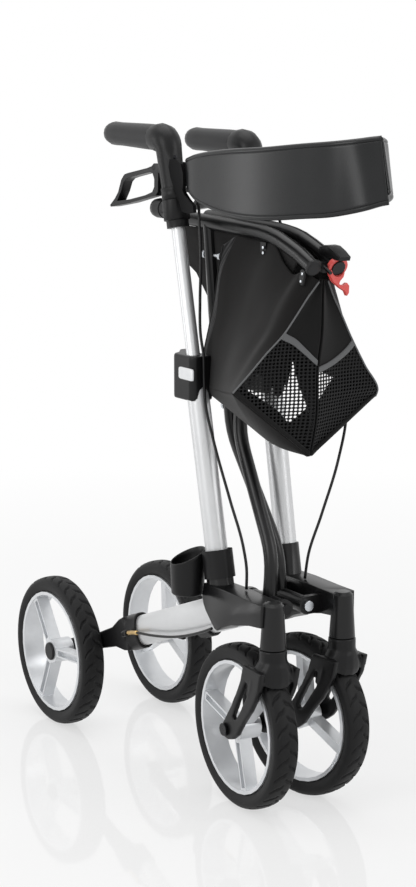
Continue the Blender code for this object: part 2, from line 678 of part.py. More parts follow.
# Side frames
def side_arm(side):
    """Casting that holds the upright, the lower tube, the head tube and the fold pivot."""
    beam = bevelled(side_plate(ARM_OUTLINE, side * ARM_X, ARM_WIDTH), ARM_ROUNDING)
    socket = rod(
        upright_at(side, SOCKET_BOTTOM), upright_at(side, SOCKET_TOP), SOCKET_RADIUS, 16,
        SOCKET_RADIUS - 0.001,
    )
    head_height = HEAD_TOP - HEAD_BOTTOM
    head = turned(
        [(0, head_height), (HEAD_TOP_RADIUS * 0.7, head_height),
         (HEAD_TOP_RADIUS, head_height - 0.004), (HEAD_BOTTOM_RADIUS, 0.001),
         (HEAD_BOTTOM_RADIUS - 0.001, 0), (0, 0)],
        point(side * HEAD_SPACING / 2, HEAD_FORWARD, HEAD_BOTTOM), (0, 0, 1), 16,
    )
    inner_face = ARM_X - ARM_WIDTH / 2 + 0.003
    lugs = []
    for middle in (SLEEVE_REAR - GAP - LUG_THICKNESS / 2, SLEEVE_FRONT + GAP + LUG_THICKNESS / 2):
        ear = [
            (side * (PIVOT_X - LUG_RADIUS * math.sin(angle)), LUG_RADIUS * math.cos(angle))
            for angle in [math.pi * step / 8 for step in range(9)]
        ]
        ear += [(side * inner_face, -LUG_RADIUS), (side * inner_face, LUG_RADIUS)]
        lugs.append(slab(ear, LUG_THICKNESS, point(0, middle, PIVOT_HEIGHT), (1, 0, 0), (0, 0, 1)))
    seat = rod(
        upright_at(side, UPRIGHT_FOOT) - Vector((0, 0, GAP)), upright_at(side, SOCKET_TOP + 0.02),
        UPRIGHT_RADIUS + GAP, 16,
    )
    pocket_length = TUBE_END + GAP - 0.35
    pocket = slab(
        oval(TUBE_HALF_WIDTH + GAP, TUBE_HALF_HEIGHT + GAP), pocket_length,
        along(0.35 + pocket_length / 2, 0, side * TUBE_X),
        (1, 0, 0), (0, math.sin(SLOPE), math.cos(SLOPE)),
    )
    stem = rod(
        point(side * HEAD_SPACING / 2, HEAD_FORWARD, HEAD_BOTTOM - 0.01),
        point(side * HEAD_SPACING / 2, HEAD_FORWARD, HEAD_BOTTOM + STEM_LENGTH + 0.001),
        STEM_RADIUS + RUNNING, 16,
    )
    pin = rod(
        point(side * PIVOT_X, SLEEVE_REAR - 0.02, PIVOT_HEIGHT),
        point(side * PIVOT_X, SLEEVE_FRONT + 0.02, PIVOT_HEIGHT), BOLT_RADIUS + GAP, 12,
    )
    arm = combined(beam, [socket, head, *lugs], [seat, pocket, stem, pin])
    finished(arm, f"side_arm_{LETTER[side]}", BLACK_PAINT)


def lower_tube(side):
    length = TUBE_END - TUBE_START
    inside = oval(TUBE_HALF_WIDTH - TUBE_WALL, TUBE_HALF_HEIGHT - TUBE_WALL)
    tube = slab(
        oval(TUBE_HALF_WIDTH, TUBE_HALF_HEIGHT), length,
        along((TUBE_START + TUBE_END) / 2, 0, side * TUBE_X),
        (1, 0, 0), (0, math.sin(SLOPE), math.cos(SLOPE)), [inside],
    )
    finished(tube, f"lower_tube_{LETTER[side]}", SILVER)


def dropout(side):
    """Bar to the rear axle with a collar over the end of the lower tube."""
    direction = (0, -math.cos(SLOPE), math.sin(SLOPE))
    normal = (0, math.sin(SLOPE), math.cos(SLOPE))
    bar = slab(
        BAR_OUTLINE, DROPOUT_THICKNESS,
        point(side * (DROPOUT_INNER_X + DROPOUT_THICKNESS / 2), 0, WHEEL_RADIUS),
        direction, normal,
    )
    collar_length = COLLAR_END - COLLAR_START
    collar = slab(
        oval(TUBE_HALF_WIDTH + COLLAR_WALL, TUBE_HALF_HEIGHT + COLLAR_WALL), collar_length,
        along((COLLAR_START + COLLAR_END) / 2, 0, side * TUBE_X), (1, 0, 0), normal,
    )
    boss = rod(
        along(COLLAR_START + 0.006, 0, side * (CABLE_BOSS_X - 0.003)),
        along(TUBE_START + 0.0135, 0, side * CABLE_BOSS_X), 0.0055, 12,
    )
    pocket_length = COLLAR_END + 0.01 - (TUBE_START - GAP)
    pocket = slab(
        oval(TUBE_HALF_WIDTH + GAP, TUBE_HALF_HEIGHT + GAP), pocket_length,
        along(TUBE_START - GAP + pocket_length / 2, 0, side * TUBE_X), (1, 0, 0), normal,
    )
    hole = rod(
        point(side * 0.05, 0, WHEEL_RADIUS), point(side * 0.09, 0, WHEEL_RADIUS),
        AXLE_RADIUS + GAP, 16,
    )
    shape = combined(bar, [collar, boss], [pocket, hole])
    finished(shape, f"dropout_{LETTER[side]}", BLACK_PLASTIC)


def upright(side):
    foot, top = upright_at(side, UPRIGHT_FOOT), upright_at(side, UPRIGHT_TOP)
    length = (top - foot).length
    step = (upright_at(side, UPRIGHT_STEP) - foot).length
    inner, upper_inner = UPRIGHT_RADIUS - UPRIGHT_WALL, UPPER_RADIUS - UPPER_WALL
    tube = turned(
        [(inner, 0), (UPRIGHT_RADIUS, 0), (UPRIGHT_RADIUS, step), (UPPER_RADIUS, step + 0.003),
         (UPPER_RADIUS, length), (upper_inner, length), (upper_inner, step),
         (inner, step - 0.004)],
        foot, top - foot, 16,
    )
    finished(tube, f"upright_{LETTER[side]}", SILVER)


def seat_bracket(side):
    """Bracket round the upright. Its inner arm is the cradle where the seat rail lands."""
    outline = [(side * x, forward) for x, forward in BRACKET_OUTLINE]
    block = slab(
        outline, BRACKET_TOP - BRACKET_BOTTOM,
        point(0, 0, (BRACKET_BOTTOM + BRACKET_TOP) / 2), (1, 0, 0), (0, -1, 0),
    )
    block = bevelled(block, 0.002, 1)
    bores = [
        rod(upright_at(side, BRACKET_BOTTOM - 0.02), upright_at(side, UPRIGHT_STEP + 0.0035),
            UPRIGHT_RADIUS + GAP, 16),
        rod(upright_at(side, BRACKET_BOTTOM), upright_at(side, BRACKET_TOP + 0.02),
            UPPER_RADIUS + GAP, 16),
    ]
    groove_radius = RAIL_RADIUS + 2 * RUNNING
    above = rail_height(0.292) - RAIL_HEIGHT
    landed_x = PIVOT_X + above * math.sin(OPEN)
    landed_height = LANDED_RAIL_HEIGHT + above * math.cos(OPEN)
    groove = rod(
        point(side * landed_x, 0.27, landed_height), point(side * landed_x, 0.32, landed_height),
        groove_radius, 20,
    )
    x_limits = sorted((side * (landed_x - groove_radius), side * (landed_x + groove_radius)))
    way_in = box(point(x_limits[0], 0.27, landed_height), point(x_limits[1], 0.32, BRACKET_TOP + 0.01))
    finished(combined(block, [], [*bores, groove, way_in]), f"seat_bracket_{LETTER[side]}", BLACK_PLASTIC)


def height_clamp(side, slide):
    """Clamp ring round the upper tube, with the seat of its knob."""
    letter = LETTER[side]
    base, top = upright_at(side, CLAMP_BOTTOM), upright_at(side, CLAMP_TOP)
    axis = (top - base).normalized()
    length = (top - base).length
    shoulder = length * (CLAMP_SHOULDER - CLAMP_BOTTOM) / (CLAMP_TOP - CLAMP_BOTTOM)
    bore = UPPER_RADIUS + GAP
    ring = turned(
        [(bore, 0), (CLAMP_SLEEVE_RADIUS, 0), (CLAMP_SLEEVE_RADIUS, shoulder),
         (CLAMP_RADIUS, shoulder + 0.001), (CLAMP_RADIUS, length - 0.002),
         (CLAMP_RADIUS - 0.002, length), (bore, length)],
        base, axis, 16,
    )
    middle = upright_at(side, KNOB_HEIGHT)
    seat = point(middle.x, KNOB_FORWARD, KNOB_HEIGHT)
    boss = rod(seat + Vector((0, -0.012, 0)), seat, KNOB_RADIUS - 0.001, 16)
    way = rod(base - axis * 0.01, top + axis * 0.01, bore, 16)
    finished(combined(ring, [boss], [way]), f"height_clamp_{letter}", BLACK_PLASTIC, slide)
    face = seat + Vector((0, GAP, 0))
    turn = joint_at(f"clamp_turn_{letter}", face, slide)
    knob = turned(
        [(0, 0), (KNOB_RADIUS, 0), (KNOB_RADIUS, KNOB_LENGTH * 0.55),
         (KNOB_RADIUS * 0.92, KNOB_LENGTH * 0.8), (KNOB_RADIUS * 0.65, KNOB_LENGTH * 0.96),
         (0, KNOB_LENGTH)],
        face, (0, 1, 0), 16,
    )
    finished(knob, f"clamp_knob_{letter}", BLACK_PLASTIC, turn)


def handle(side):
    """What slides on the upper tube: clamp, elbow housing, grip, brake lever."""
    letter = LETTER[side]
    slide = joint_at(f"handle_height_{letter}", upright_at(side, CLAMP_BOTTOM))
    slide["empty"].location -= HANDLE_DROP[side] * Vector((side * UPRIGHT_FLARE, UPRIGHT_LEAN, 1))
    height_clamp(side, slide)

    bottom, corner = upright_at(side, HOUSING_BOTTOM), upright_at(side, ELBOW_HEIGHT)
    joint = point(corner.x, GRIP_FORWARD, ELBOW_HEIGHT + 0.001)
    bend = 6
    scales = [1.0, *[
        1 + (ELBOW_RADIUS / HOUSING_RADIUS - 1) * min(1.0, 0.45 + step / bend)
        for step in range(bend + 1)
    ], HOUSING_END_RADIUS / HOUSING_RADIUS]
    body = pipe(rounded([bottom, corner, joint], ELBOW_LENGTH, bend), HOUSING_RADIUS, 4, scales)
    pin_forward, pin_height = LEVER_PIN
    lever_x = abs(upright_at(side, pin_height).x)
    ear_outline = [
        (0.2790, pin_height + 0.0062), (pin_forward, pin_height + 0.0062),
        (pin_forward - 0.0055, pin_height + 0.0025), (pin_forward - 0.0055, pin_height - 0.0025),
        (pin_forward, pin_height - 0.0062), (0.2790, pin_height - 0.0062),
    ]
    ear_offset = LEVER_WIDTH / 2 + RUNNING + EAR_THICKNESS / 2
    ears = [
        side_plate(ear_outline, side * (lever_x + offset), EAR_THICKNESS)
        for offset in (-ear_offset, ear_offset)
    ]
    plate = side_plate(
        [(0.2950, 0.8470), (STRAP_STATIONS[0][1] - 0.0042, 0.8470),
         (STRAP_STATIONS[0][2] - 0.0032, 0.8760), (0.2920, 0.8760)],
        side * STRAP_STATIONS[0][0], 0.007,
    )
    tube_bore = rod(
        upright_at(side, HOUSING_BOTTOM - 0.01),
        upright_at(side, UPRIGHT_TOP + HANDLE_DROP[side] + 0.0005),
        UPPER_RADIUS + GAP, 16,
    )
    pin_start = point(side * (lever_x - 0.02), pin_forward, pin_height)
    pin_end = point(side * (lever_x + 0.02), pin_forward, pin_height)
    pin_hole = rod(pin_start, pin_end, PIN_RADIUS + GAP, 12)
    housing = combined(body, [*ears, plate], [tube_bore, pin_hole])
    finished(housing, f"handle_housing_{letter}", BLACK_PLASTIC, slide)

    grip_start = joint + Vector((0, GAP, 0))
    grip_tip = point(corner.x + side * 0.001, GRIP_END, ELBOW_HEIGHT + GRIP_RISE)
    reach = (grip_tip - grip_start).length
    grip = turned(
        [(0, 0), (GRIP_RADIUS, 0), (GRIP_RADIUS, reach * 0.16),
         (GRIP_RADIUS - 0.0008, reach * 0.48), (GRIP_RADIUS - 0.0014, reach * 0.72),
         (GRIP_RADIUS - 0.0010, reach * 0.87), (GRIP_RADIUS - 0.0035, reach * 0.95),
         (GRIP_RADIUS * 0.52, reach * 0.99), (0, reach)],
        grip_start, grip_tip - grip_start, 16,
    )
    finished(grip, f"grip_{letter}", GRIP_RUBBER, slide)

    hinge = joint_at(f"lever_hinge_{letter}", point(side * lever_x, pin_forward, pin_height), slide)
    blade = side_plate(LEVER_OUTLINE, side * lever_x, LEVER_WIDTH, [LEVER_LOOP])
    pin_half = Vector((ear_offset + EAR_THICKNESS / 2, 0, 0))
    pin = rod(hinge["place"] - pin_half, hinge["place"] + pin_half, PIN_RADIUS, 12)
    finished(combined(blade, [pin]), f"brake_lever_{letter}", BLACK_PLASTIC, hinge)


def brake(side):
    """Shoe inside the rear rim, and the two free stretches of the brake cable."""
    letter = LETTER[side]
    outer = RIM_RADIUS - RIM_WALL - 0.003
    inner = outer - 0.0145
    span = math.radians(14)
    arc = [SLOPE - span + 2 * span * step / 6 for step in range(7)]
    outline = [(outer * math.cos(angle), WHEEL_RADIUS + outer * math.sin(angle)) for angle in arc]
    outline += [
        (inner * math.cos(angle), WHEEL_RADIUS + inner * math.sin(angle)) for angle in reversed(arc)
    ]
    shoe_inner = DROPOUT_INNER_X + DROPOUT_THICKNESS + GAP
    shoe_outer = REAR_TRACK / 2 + SPOKE_INNER_FACE - 0.002
    shoe = side_plate(outline, side * (shoe_inner + shoe_outer) / 2, shoe_outer - shoe_inner)
    slide = joint_at(f"brake_{letter}", along((inner + outer) / 2, 0, side * shoe_inner))
    finished(shoe, f"brake_shoe_{letter}", BLACK_PLASTIC, slide)
    route = [point(side * x, forward, height) for x, forward, height in CABLE_ROUTE[side]]
    finished(pipe(smooth(route, 2), CABLE_RADIUS, 1), f"brake_cable_{letter}", BLACK_PLASTIC)
    route = [point(side * x, forward, height) for x, forward, height in LOWER_CABLE_ROUTE]
    finished(pipe(smooth(route, 2), CABLE_RADIUS, 1), f"lower_cable_{letter}", BLACK_PLASTIC)


def cane_cup(side):
    """Open cup for the tip of a cane, held by a band round the upright's socket."""
    centre = point(side * 0.0855, 0.3610, 0)
    outer, wall = 0.0230, 0.002
    bottom, rim_low, rim_high = 0.2850, 0.3150, 0.3470
    cup = rod(centre + Vector((0, 0, bottom)), centre + Vector((0, 0, 0.36)), outer, 20, outer + 0.0015)
    band = rod(upright_at(side, 0.3120), upright_at(side, 0.3500), SOCKET_RADIUS + 0.0025, 20)
    hollow = rod(
        centre + Vector((0, 0, bottom + wall)), centre + Vector((0, 0, 0.37)), outer - wall, 20,
        outer + 0.0015 - wall,
    )
    socket_space = rod(upright_at(side, 0.28), upright_at(side, 0.38), SOCKET_RADIUS + GAP, 20)
    towards = upright_at(side, 0.33) - centre
    towards.z = 0
    towards.normalize()
    slant = Vector((towards.x, towards.y, (rim_high - rim_low) / (2 * outer)))
    across = Vector((-towards.y, towards.x, 0))
    middle = centre + Vector((0, 0, (rim_low + rim_high) / 2))
    above = slab(
        [(-0.040, 0.0), (0.040, 0.0), (0.040, 0.06), (-0.040, 0.06)], 0.12, middle, slant,
        across.cross(slant) * (1 if across.cross(slant).z > 0 else -1),
    )
    shape = combined(cup, [], [above])
    finished(
        combined(shape, [band], [hollow, socket_space]), f"cane_cup_{LETTER[side]}", BLACK_PLASTIC
    )


# Fold
def cross_x(start_side, height):
    """Where a crossed tube that starts on one side lies at a height."""
    share = (height - PIVOT_HEIGHT) / (RAIL_HEIGHT - PIVOT_HEIGHT)
    return start_side * PIVOT_X * (1 - 2 * share)


def rail_height(forward):
    """Height of the seat rails' centre at a place."""
    for (start, low), (end, high) in zip(RAIL_ROUTE, RAIL_ROUTE[1:]):
        if start <= forward <= end:
            return low + (high - low) * (forward - start) / (end - start)


def rail_points(side, end, steps=2):
    route = [point(side * PIVOT_X, forward, height) for forward, height in RAIL_ROUTE]
    last, before = route[-1], route[-2]
    tip = last + (last - before).normalized() * (end - RAIL_ROUTE[-1][0]) * 1.1
    return [*smooth(route[:-1], steps), tip]


def cross_tube(start_side, letter, carrier):
    """Tube from a pivot sleeve on one side up to the seat rail on the other side."""
    offset = -start_side * CROSS_OFFSET
    route = [
        point(cross_x(start_side, height), forward + offset, height)
        for forward, height in CROSS_ROUTE
    ]
    tube = pipe(rounded(route, 0.028, 4), CROSS_RADIUS)
    pivot = start_side * PIVOT_X
    sleeve = rod(
        point(pivot, SLEEVE_REAR, PIVOT_HEIGHT), point(pivot, SLEEVE_FRONT, PIVOT_HEIGHT),
        SLEEVE_RADIUS, 20,
    )
    sleeve_bore = rod(
        point(pivot, SLEEVE_REAR - 0.01, PIVOT_HEIGHT), point(pivot, SLEEVE_FRONT + 0.01, PIVOT_HEIGHT),
        BOLT_RADIUS + RUNNING, 12,
    )
    centre_bore = rod(point(0, 0.30, CROSS_HEIGHT), point(0, 0.40, CROSS_HEIGHT), BOLT_RADIUS + GAP, 12)
    cope = pipe(rail_points(-start_side, 0.60), RAIL_RADIUS + GAP)
    cutters = [sleeve_bore, centre_bore, cope]
    if start_side == LEFT:
        stay_x = cross_x(start_side, STAY_HEIGHT)
        cutters.append(
            rod(point(stay_x, 0.28, STAY_HEIGHT), point(stay_x, 0.36, STAY_HEIGHT), BOLT_RADIUS, 12)
        )
    finished(combined(tube, [sleeve], cutters), f"cross_tube_{letter}", BLACK_PAINT, carrier)


def bolt(place, front, rear, radius, head_radius):
    """Bolt along Y with its head in front and its nut behind, as a turned profile."""
    length = front - rear
    return turned(
        [(0, -BOLT_HEAD_HEIGHT), (head_radius, -BOLT_HEAD_HEIGHT), (head_radius, 0), (radius, 0),
         (radius, length), (head_radius * 0.92, length),
         (head_radius * 0.92, length + BOLT_HEAD_HEIGHT), (0, length + BOLT_HEAD_HEIGHT)],
        point(place[0], front, place[1]), (0, 1, 0), 12,
    )


def fold():
    hinge_a = joint_at("fold", point(RIGHT * PIVOT_X, 0.45, PIVOT_HEIGHT))
    hinge_b = joint_at("cross_pivot", point(0, 0.35, CROSS_HEIGHT), hinge_a)
    cross_tube(RIGHT, "a", hinge_a)
    cross_tube(LEFT, "b", hinge_b)
    reach = CROSS_OFFSET + CROSS_RADIUS + 2 * GAP
    finished(
        bolt((0, CROSS_HEIGHT), 0.35 + reach, 0.35 - reach, BOLT_RADIUS, BOLT_HEAD_RADIUS),
        "centre_bolt", ZINC, hinge_a,
    )
    for side in (RIGHT, LEFT):
        finished(
            bolt(
                (side * PIVOT_X, PIVOT_HEIGHT), SLEEVE_FRONT + LUG_THICKNESS + 2 * GAP,
                SLEEVE_REAR - LUG_THICKNESS - 2 * GAP, BOLT_RADIUS, BOLT_HEAD_RADIUS,
            ),
            f"pivot_bolt_{LETTER[side]}", ZINC,
        )
    stay_x = cross_x(LEFT, STAY_HEIGHT)
    finished(
        bolt((stay_x, STAY_HEIGHT), 0.3345, 0.2990, BOLT_RADIUS - GAP, 0.0068), "stay_bolt", ZINC,
        hinge_b,
    )
    for side, hinge in ((RIGHT, hinge_b), (LEFT, hinge_a)):
        rail = pipe(rail_points(side, RAIL_END[side]), RAIL_RADIUS)
        extras = []
        if side == RIGHT:
            catch_x = PIVOT_X - HOOK_REACH
            (before, high), (last, low) = RAIL_ROUTE[-2:]
            rail_slope = (low - high) / (last - before)
            start, end = HOOK_FORWARD - 0.0150, HOOK_FORWARD + 0.0130
            extras.append(pipe(rounded([
                point(-PIVOT_X, start, rail_height(start)), point(catch_x, start, rail_height(start)),
                point(catch_x, end, rail_height(start) + rail_slope * (end - start)),
            ], 0.004, 2), CATCH_RADIUS, 2))
        finished(combined(rail, extras), f"seat_rail_{LETTER[side]}", BLACK_PAINT, hinge)
    fold_hook(hinge_a)


def fold_hook(carrier):
    """Red hook on the end of the left rail, whose jaw catches the pin of the right rail."""
    centre = point(PIVOT_X, HOOK_FORWARD, rail_height(HOOK_FORWARD))
    first, last = point(0, *RAIL_ROUTE[-2]), point(0, *RAIL_ROUTE[-1])
    axis = (last - first).normalized()
    up = Vector((0, 0, 1))
    pivot = joint_at("hook_swing", centre, carrier)
    half = axis * HOOK_THICKNESS / 2
    ring = rod(centre - half, centre + half, RAIL_RADIUS + 0.0045, 20)
    arm = slab(HOOK_ARM, HOOK_THICKNESS, centre, (1, 0, 0), up)
    bore = rod(centre - half * 4, centre + half * 4, RAIL_RADIUS + GAP, 20)
    finished(combined(ring, [arm], [bore]), "fold_hook", RED_PLASTIC, pivot)


# Soft parts
def seat_panel(side):
    """Half of the seat fabric, hanging folded from its rail to the middle seam."""
    letter = LETTER[side]
    direction = Vector((-side * (PIVOT_X - 0.0025), 0, -PANEL_DROP)).normalized()
    sections = []
    for forward in (PANEL_REAR, 0.441, 0.483, PANEL_FRONT):
        rail = point(side * PIVOT_X, forward, rail_height(forward))
        near, far = rail + direction * (RAIL_RADIUS + 0.0009), rail + direction * PANEL_DROP
        normal = Vector((direction.z, 0, -direction.x)) * PANEL_THICKNESS / 2
        sections.append([near - normal, near + normal, far + normal, far - normal])
    finished(loft(sections), f"seat_panel_{letter}", FABRIC)


def bag_loops(levels):
    """Closed loops from the levels of the near half and their mirror images."""
    loops = []
    for level in levels:
        near = [point(-x, forward, height) for x, forward, height in level]
        far = [Vector((-p.x, p.y, p.z)) for p in reversed(near[:-1])]
        loops.append([*near, *far])
    return loops


def bag():
    """Folded bag with its front corners spread, its base hanging as a keel and its top open."""
    body = loft(bag_loops(BAG_LEVELS))
    inside = loft(bag_loops(BAG_INSIDE))
    tube_slot = box(point(-0.0212, 0.20, 0.45), point(0.0212, 0.398, 0.60))
    finished(combined(body, [], [inside, tube_slot]), "bag", FABRIC)


def bag_tab(side):
    """Riveted tab under a rail, from which that side of the bag hangs."""
    thickness, length, drop = 0.0025, 0.013, 0.034
    top = rail_height(TAB_FORWARD) - RAIL_RADIUS - GAP - RUNNING
    middle = side * (PIVOT_X + 0.0035)
    tab = side_plate(
        [(TAB_FORWARD - length / 2, top), (TAB_FORWARD + length / 2, top),
         (TAB_FORWARD + length / 2, top - drop + 0.003), (TAB_FORWARD + length / 2 - 0.003, top - drop),
         (TAB_FORWARD - length / 2 + 0.003, top - drop), (TAB_FORWARD - length / 2, top - drop + 0.003)],
        middle, thickness,
    )
    rivets = [
        rod(point(middle, TAB_FORWARD, height), point(middle + side * 0.0022, TAB_FORWARD, height), 0.003, 10)
        for height in (top - 0.012, top - 0.026)
    ]
    finished(combined(tab, rivets), f"bag_tab_{LETTER[side]}", BLACK_PLASTIC)


def backrest_strap(side):
    """Half of the padded strap, from its handle forward to the fold, with a crowned section."""
    centres = [
        (point(side * x, (low_f + high_f) / 2, 0), low_f, high_f, low, high)
        for x, low_f, high_f, low, high in STRAP_STATIONS
    ]
    loops = []
    for i, (centre, low_f, high_f, low, high) in enumerate(centres):
        before, after = centres[max(i - 1, 0)][0], centres[min(i + 1, len(centres) - 1)][0]
        direction = (after - before).normalized()
        normal = Vector((direction.y, -direction.x, 0))
        loop = []
        for share, bulge in (
            (0.0, 0.35), (0.12, 0.9), (0.5, 1.0), (0.88, 0.9), (1.0, 0.35),
            (1.0, -0.35), (0.88, -0.9), (0.5, -1.0), (0.12, -0.9), (0.0, -0.35),
        ):
            sunk = HANDLE_DROP[side] * (1 - i / (len(centres) - 1))
            middle = point(centre.x, low_f + (high_f - low_f) * share, low + (high - low) * share - sunk)
            loop.append(middle + normal * bulge * STRAP_THICKNESS / 2)
        loops.append(loop)
    finished(loft(loops), f"backrest_strap_{LETTER[side]}", PADDING)


for which in (RIGHT, LEFT):
    side_arm(which)
    lower_tube(which)
    dropout(which)
    upright(which)
    seat_bracket(which)
    handle(which)
    brake(which)
    caster(which)
    rear_wheel(which)
    seat_panel(which)
    backrest_strap(which)
    bag_tab(which)
cane_cup(RIGHT)
fold()
bag()
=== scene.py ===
"""Looks of a folding outdoor rollator that stands folded on its four wheels.

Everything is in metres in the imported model's frame: +Z up, the front to -Y, the user's right to -X.
"""

import json
import math

import bmesh
import bpy
import numpy as np
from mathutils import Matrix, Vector

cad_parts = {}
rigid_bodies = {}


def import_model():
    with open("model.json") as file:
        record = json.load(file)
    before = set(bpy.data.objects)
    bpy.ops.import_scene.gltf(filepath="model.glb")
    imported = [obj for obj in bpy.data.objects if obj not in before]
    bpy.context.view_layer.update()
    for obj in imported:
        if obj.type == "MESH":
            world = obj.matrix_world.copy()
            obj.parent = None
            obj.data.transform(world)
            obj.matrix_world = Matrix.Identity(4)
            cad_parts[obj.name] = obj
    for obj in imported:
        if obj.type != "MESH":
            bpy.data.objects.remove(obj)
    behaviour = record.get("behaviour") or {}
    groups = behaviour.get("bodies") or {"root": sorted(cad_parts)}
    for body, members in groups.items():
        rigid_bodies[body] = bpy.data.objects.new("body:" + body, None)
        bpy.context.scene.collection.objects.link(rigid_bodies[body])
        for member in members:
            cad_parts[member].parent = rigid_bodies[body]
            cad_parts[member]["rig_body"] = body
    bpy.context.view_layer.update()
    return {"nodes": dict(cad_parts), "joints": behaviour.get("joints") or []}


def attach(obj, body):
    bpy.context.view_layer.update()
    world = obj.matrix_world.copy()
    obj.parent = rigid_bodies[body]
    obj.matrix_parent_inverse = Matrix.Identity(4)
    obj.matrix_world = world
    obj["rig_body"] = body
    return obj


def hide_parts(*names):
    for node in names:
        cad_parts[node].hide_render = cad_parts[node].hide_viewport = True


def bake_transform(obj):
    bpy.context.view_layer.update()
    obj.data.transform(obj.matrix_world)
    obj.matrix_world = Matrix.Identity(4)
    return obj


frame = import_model()


# The view: a long lens a little above the handles, in front of the walker and to the user's
# right. The picture is 416 wide and 887 high.
LENS = 80.79
SENSOR_HEIGHT = 36.0
SHIFT_UP = 0.02525
TOWARDS_CAMERA = (-0.52337, -0.82937, 0.19553)
CAMERA_X, CAMERA_FORWARD, CAMERA_HEIGHT = -1.48993, 2.63909, 0.99886
# "Forward" is measured ahead of the rear axle, towards -Y.
joints = {joint["name"]: joint for joint in frame["joints"]}
REAR_AXLE_Y = joints["rear_wheel_r"]["pos_m"][1]


def linked(name, data):
    """A new object in the scene."""
    made = bpy.data.objects.new(name, data)
    bpy.context.scene.collection.objects.link(made)
    return made


camera_data = bpy.data.cameras.new("camera")
camera_data.sensor_fit = "VERTICAL"
camera_data.sensor_height = SENSOR_HEIGHT
camera_data.lens = LENS
camera_data.shift_y = SHIFT_UP
camera = linked("camera", camera_data)
camera.location = (CAMERA_X, REAR_AXLE_Y - CAMERA_FORWARD, CAMERA_HEIGHT)
camera.rotation_euler = Vector(TOWARDS_CAMERA).to_track_quat("Z", "Y").to_euler()
bpy.context.scene.camera = camera
bpy.context.scene.view_settings.view_transform = "Standard"


# The studio: a pale glossy table in a white room, a large soft lamp on either side, one above
# and a narrow one behind. The table keeps the walker's shadow and a faint mirror image.
TABLE_REACH = 30.0
ROOM_LIGHT = 0.45


def linear(colour):
    """An sRGB hex colour as linear red, green, blue and alpha."""
    parts = [int(colour[i:i + 2], 16) / 255 for i in (1, 3, 5)]
    return (*[c / 12.92 if c <= 0.04045 else ((c + 0.055) / 1.055) ** 2.4 for c in parts], 1.0)


def add(tree, kind, values=None, links=None, **settings):
    """Adds a shader node with its settings, input values and links as (node, output)."""
    made = tree.nodes.new("ShaderNode" + kind)
    for key, value in settings.items():
        setattr(made, key, value)
    for key, value in (values or {}).items():
        made.inputs[key].default_value = value
    for key, (source, output) in (links or {}).items():
        tree.links.new(source.outputs[output], made.inputs[key])
    return made


def blank(name):
    """A new material, its empty node tree and its output."""
    made = bpy.data.materials.new(name)
    made.use_nodes = True
    made.node_tree.nodes.clear()
    return made, made.node_tree, made.node_tree.nodes.new("ShaderNodeOutputMaterial")


def seen_rays(tree):
    """A node that gives 1 to rays from the camera or a gloss, and 0 to others."""
    rays = add(tree, "LightPath")
    links = {0: (rays, "Is Camera Ray"), 1: (rays, "Is Glossy Ray")}
    return add(tree, "Math", None, links, operation="MAXIMUM")


def grid_object(name, points, material, closed_u=False, closed_v=False):
    """An object from an array of points of shape (rows, columns, 3), joined up as quads.

    With closed_u the last row joins the first, and with closed_v the last column does.
    """
    rows, columns = points.shape[:2]
    index = np.arange(rows * columns).reshape(rows, columns)
    down = np.vstack([index, index[:1]]) if closed_u else index
    full = np.hstack([down, down[:, :1]]) if closed_v else down
    quads = np.stack([full[:-1, :-1], full[:-1, 1:], full[1:, 1:], full[1:, :-1]], axis=-1)
    mesh = bpy.data.meshes.new(name)
    mesh.from_pydata(points.reshape(-1, 3).tolist(), [], quads.reshape(-1, 4).tolist())
    mesh.shade_smooth()
    mesh.materials.append(material)
    return linked(name, mesh)


# Directly or in a gloss the table is seen 60 % plain white within 0.6 m, and all white from 2.2 m.
paint, tree, output = blank("white_studio_table")
place = add(tree, "TexCoord")
mottle = add(tree, "TexNoise", {"Scale": 1.5, "Detail": 2.0}, {"Vector": (place, "Object")})
tint = add(tree, "MixRGB", {1: linear("#f3f3f3"), 2: linear("#f8f8f8")}, {0: (mottle, 0)})
gloss = add(
    tree, "BsdfPrincipled", {"Roughness": 0.05, "Specular IOR Level": 0.6},
    {"Base Color": (tint, 0)},
)
away = add(tree, "VectorMath", None, {0: (place, "Object")}, operation="LENGTH")
whiteness = add(
    tree, "MapRange", {"From Min": 0.6, "From Max": 2.2, "To Min": 0.6, "To Max": 1.0},
    {"Value": (away, "Value")},
)
seen = seen_rays(tree)
share = add(tree, "Math", None, {0: (seen, 0), 1: (whiteness, 0)}, operation="MULTIPLY")
lit = add(tree, "Emission", {"Color": linear("#ffffff")})
mixed = add(tree, "MixShader", None, {0: (share, 0), 1: (gloss, 0), 2: (lit, 0)})
tree.links.new(mixed.outputs[0], output.inputs[0])
steps = np.linspace(-TABLE_REACH, TABLE_REACH, 13)
floor_x, floor_y = np.meshgrid(steps, steps)
table_points = np.stack([floor_x, floor_y, np.zeros_like(floor_x)], axis=-1)
table = grid_object("studio_table", table_points, paint)

# The room is seen plain white, and lights the walker more dimly.
world = bpy.data.worlds.new("soft_room")
bpy.context.scene.world = world
world.use_nodes = True
tree = world.node_tree
tree.nodes.clear()
seen = seen_rays(tree)
room = add(tree, "Background", {"Color": linear("#ffffff"), "Strength": ROOM_LIGHT})
white = add(tree, "Background", {"Color": linear("#ffffff")})
mixed = add(tree, "MixShader", None, {0: (seen, 0), 1: (room, 0), 2: (white, 0)})
add(tree, "OutputWorld", None, {0: (mixed, 0)})


def lamp(name, place, target, size, power):
    """A soft rectangular lamp that points from a place at a target, with its power in watts."""
    light = bpy.data.lights.new(name, "AREA")
    light.shape = "RECTANGLE"
    light.size, light.size_y = size
    light.energy = power
    made = linked(name, light)
    made.location = place
    made.rotation_euler = (Vector(place) - Vector(target)).to_track_quat("Z", "Y").to_euler()
    made.visible_camera = False


